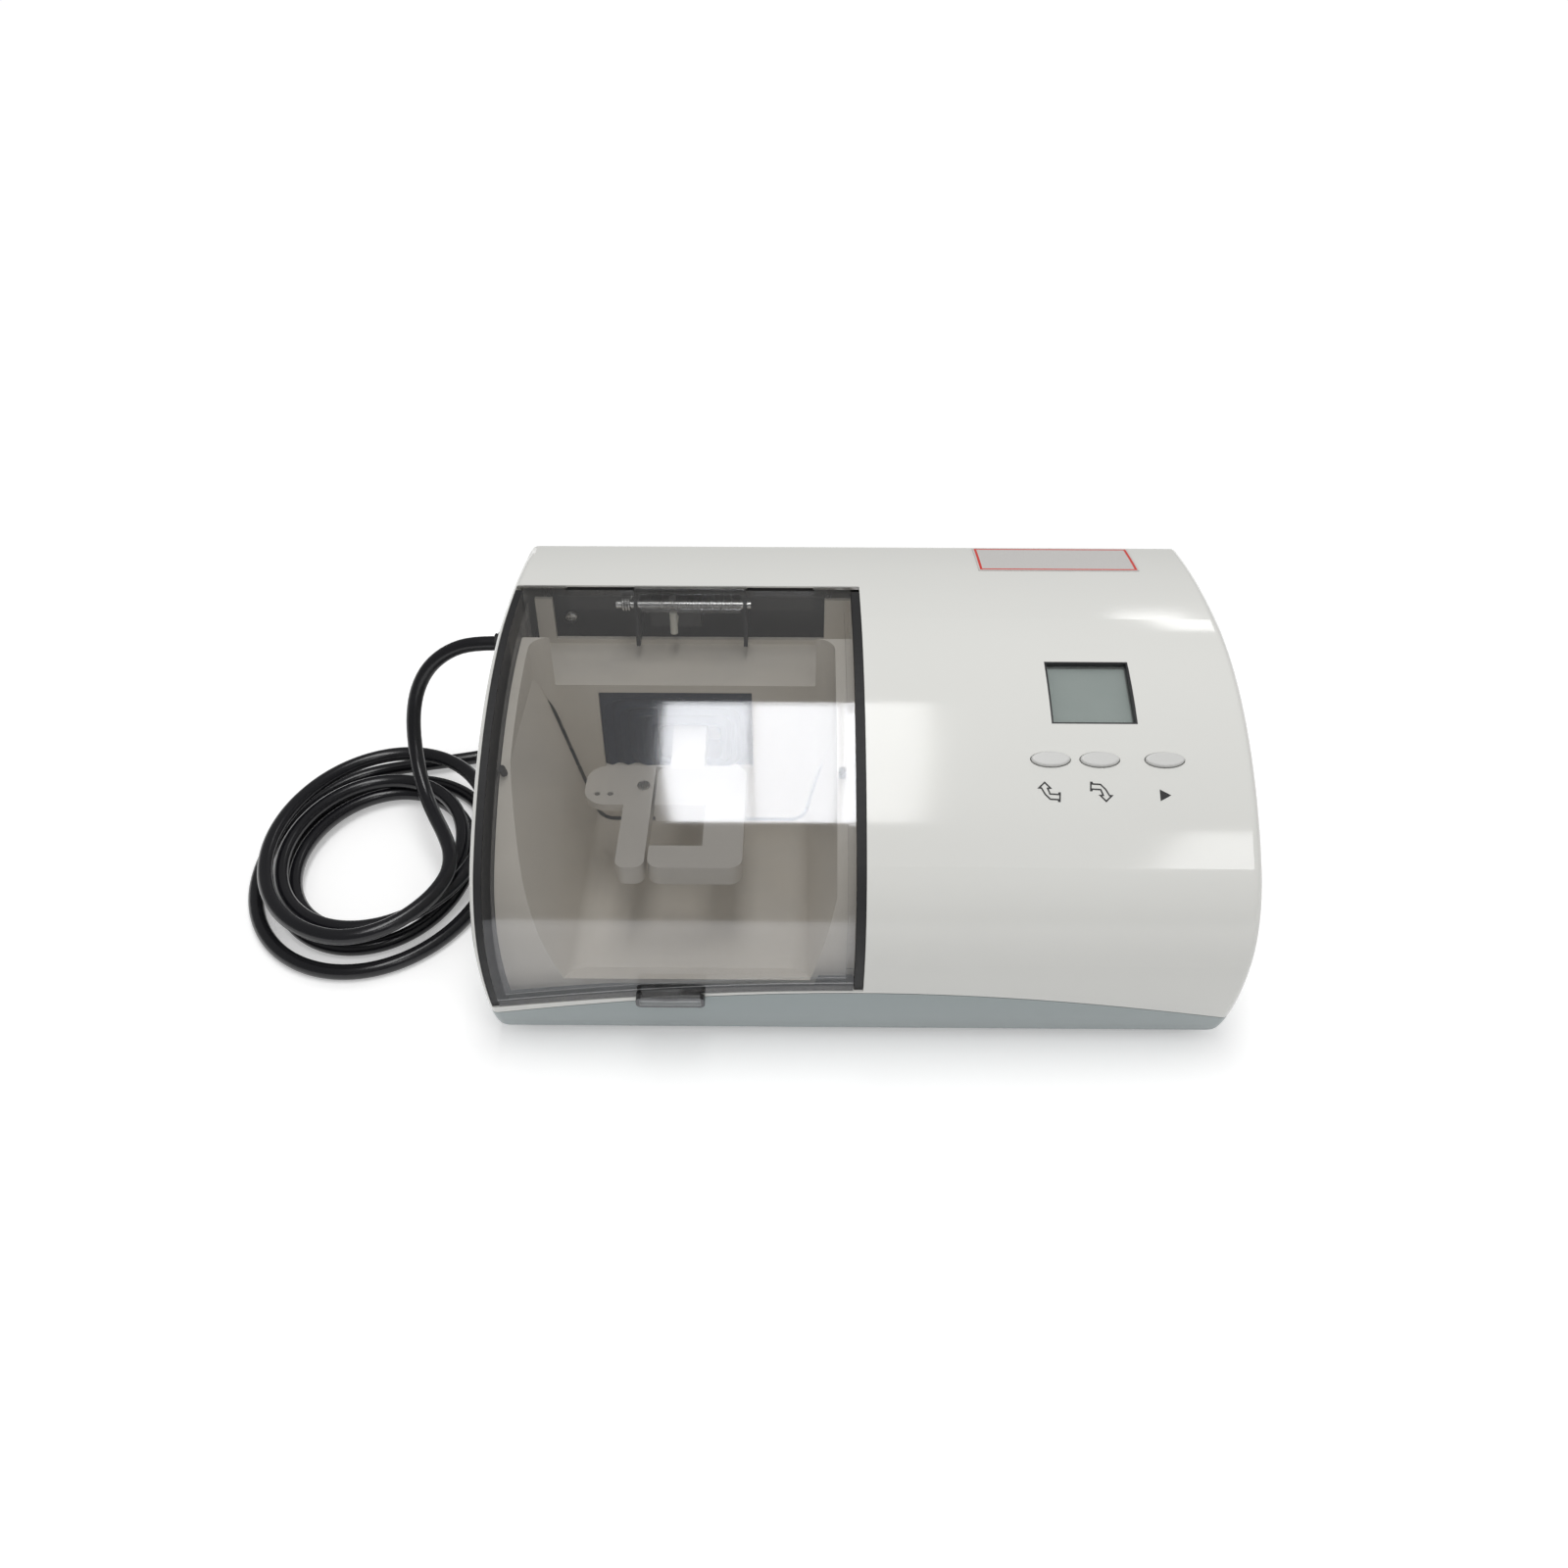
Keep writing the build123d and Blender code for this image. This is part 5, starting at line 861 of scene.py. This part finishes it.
def add_sign(shape, points, line=0.0):
    """A flat sign from its corners; with a line width only its outline stays."""
    corners = [shape.verts.new((x, y, 0.0)) for x, y in points]
    face = shape.faces.new(corners)
    shape.normal_update()
    if face.normal.z < 0:
        face.normal_flip()
    if line:
        bmesh.ops.inset_region(shape, faces=[face], thickness=line, use_boundary=True,
                               use_even_offset=True)
        bmesh.ops.delete(shape, geom=[face], context="FACES_ONLY")
    sides = bmesh.ops.extrude_face_region(shape, geom=shape.faces[:])
    raised_verts = [item for item in sides["geom"] if isinstance(item, bmesh.types.BMVert)]
    bmesh.ops.translate(shape, verts=raised_verts, vec=(0, 0, ink_thickness))


bent_arrow = [
    (-0.17, 0.50), (0.14, 0.14), (-0.01, 0.13), (0.06, -0.08), (0.38, -0.10), (0.40, -0.03),
    (0.50, -0.03), (0.47, -0.50), (0.37, -0.50), (0.35, -0.42), (0.02, -0.40), (-0.20, -0.15),
    (-0.34, 0.14), (-0.50, 0.15),
]
arrow_width, arrow_height, ink_line, arrow_y = 0.0080, 0.0074, 0.00052, -0.0552
for name, x, turned in (("sign_less", 0.0631, 1), ("sign_more", 0.0811, -1)):
    sign = bmesh.new()
    add_sign(sign, [(turned * arrow_width * a, turned * arrow_height * b) for a, b in bent_arrow], ink_line)
    set_on_slope(sign, x, arrow_y)
    keep(sign, name, "base", ink)
start_sign = bmesh.new()
add_sign(start_sign, [(-0.0014, -0.0021), (0.0024, 0.0), (-0.0014, 0.0021)])
set_on_slope(start_sign, 0.1024, -0.0561)
keep(start_sign, "sign_start", "base", ink)

# %% [markdown]
# The mains switch carries the two signs that every such switch has: a bar for on and a ring for off.

# %% Switch signs
bar = bmesh.new()
bmesh.ops.create_cube(bar, size=1.0)
bmesh.ops.scale(bar, vec=(0.0006, 0.00006, 0.0034), verts=bar.verts)
place_matrix = Matrix.Translation((0.1009, 0.09006, 0.0620)) @ Matrix.Rotation(math.radians(-15.3), 4, "Z")
bmesh.ops.transform(bar, matrix=place_matrix, verts=bar.verts)
keep(bar, "sign_on", "rocker", white_ink)
ring = bmesh.new()
for ring_radius in (0.0011, 0.0016):
    bmesh.ops.create_circle(ring, segments=40, radius=ring_radius)
bmesh.ops.bridge_loops(ring, edges=ring.edges[:])
bmesh.ops.recalc_face_normals(ring, faces=ring.faces)
bmesh.ops.solidify(ring, geom=ring.faces[:], thickness=ink_thickness)
place_matrix = (Matrix.Translation((0.1071, 0.08948, 0.0620)) @ Matrix.Rotation(math.radians(4.6), 4, "Z")
                @ Matrix.Rotation(math.pi / 2, 4, "X"))
bmesh.ops.transform(ring, matrix=place_matrix, verts=ring.verts)
keep(ring, "sign_off", "rocker", white_ink)

# %% [markdown]
# ## Floor and light
# The floor is white and lit by the same lamps as the machine, so it keeps the machine's soft shadow.
# A little light of its own, seen only by the camera, in reflections and through the lid, lifts it to
# full white. It grows with distance, where the lamps no longer reach, and the paint fades there, so the
# two never add up to more than white. The sky is dimmer in reflections than in the light it gives, as
# a room is round a lit table, which keeps the black parts behind the lid black.

# %% Floor and world
floor_data = bpy.data.meshes.new("floor")
floor_shape = bmesh.new()
bmesh.ops.create_grid(floor_shape, x_segments=1, y_segments=1, size=6.0)
floor_shape.to_mesh(floor_data)
floor_shape.free()
floor = bpy.data.objects.new("floor", floor_data)
bpy.context.scene.collection.objects.link(floor)
floor_paint, floor_shader, floor_place = open_material("floor_paint")
floor_data.materials.append(floor_paint)
distance = floor_place.node("ShaderNodeVectorMath", {"operation": "LENGTH"}, {0: floor_place}, output=1)
far_off = distance.node(
    "ShaderNodeMapRange", {"clamp": True}, {0: distance, 1: 0.3, 2: 1.2, 3: 0.3, 4: 1.02})
paint = distance.node(
    "ShaderNodeMapRange", {"clamp": True}, {0: distance, 1: 0.5, 2: 1.2, 3: 0.86, 4: 0.0})
seen = floor_place.node("ShaderNodeLightPath")
mirrored = floor_place.node("ShaderNodeLightPath", output=3)
passed = floor_place.node("ShaderNodeLightPath", output=6)
shown = seen.math("MAXIMUM", seen, seen.math("MAXIMUM", mirrored, passed))
fill(floor_shader, Base_Color=paint, Roughness=0.9, Specular_IOR_Level=0.0,
     Emission_Color=(1.0, 1.0, 1.0, 1.0), Emission_Strength=shown * far_off)

world = bpy.data.worlds.new("studio")
bpy.context.scene.world = world
world.use_nodes = True
background = world.node_tree.nodes["Background"]
background.inputs["Color"].default_value = (1.0, 1.0, 1.0, 1.0)
sky = Wire(world.node_tree, background.outputs[0])
in_gloss = sky.node("ShaderNodeLightPath", output=3)
sky_level = in_gloss.node("ShaderNodeMapRange", None, {0: in_gloss, 3: 0.53, 4: 0.24})
world.node_tree.links.new(sky_level.socket, background.inputs["Strength"])
print("floor and world ready")

# %% [markdown]
# The lamps are soft rectangles. Three stand side by side overhead like the panes of a window, because
# a glossy lid shows what lights it: their mirror image is the bright patch across the lid and housing.
# Two more far off give the small glints on the rear edge and on the right shoulder.

# %% Lamps
def panel(name, place, size, power):
    """A soft rectangular lamp that shines straight down."""
    data = bpy.data.lights.new(name, "AREA")
    data.shape = "RECTANGLE"
    data.size, data.size_y = size
    data.energy = power
    lamp = bpy.data.objects.new(name, data)
    lamp.location = place
    bpy.context.scene.collection.objects.link(lamp)


lamp_height = 1.3
panes_middle, pane_spacing, pane_size = -0.022, 0.112, (0.108, 0.99)
for pane in (-1, 0, 1):
    panel("ceiling_pane", (panes_middle + pane_spacing * pane, -0.16, lamp_height), pane_size, 2.5)
panel("rear_window", (0.72, 1.8, lamp_height), (0.15, 0.62), 1.7)
panel("side_window", (0.61, -1.0, lamp_height), (0.2, 0.55), 2.3)
bpy.context.scene.view_settings.view_transform = "Standard"
print("stage lit")
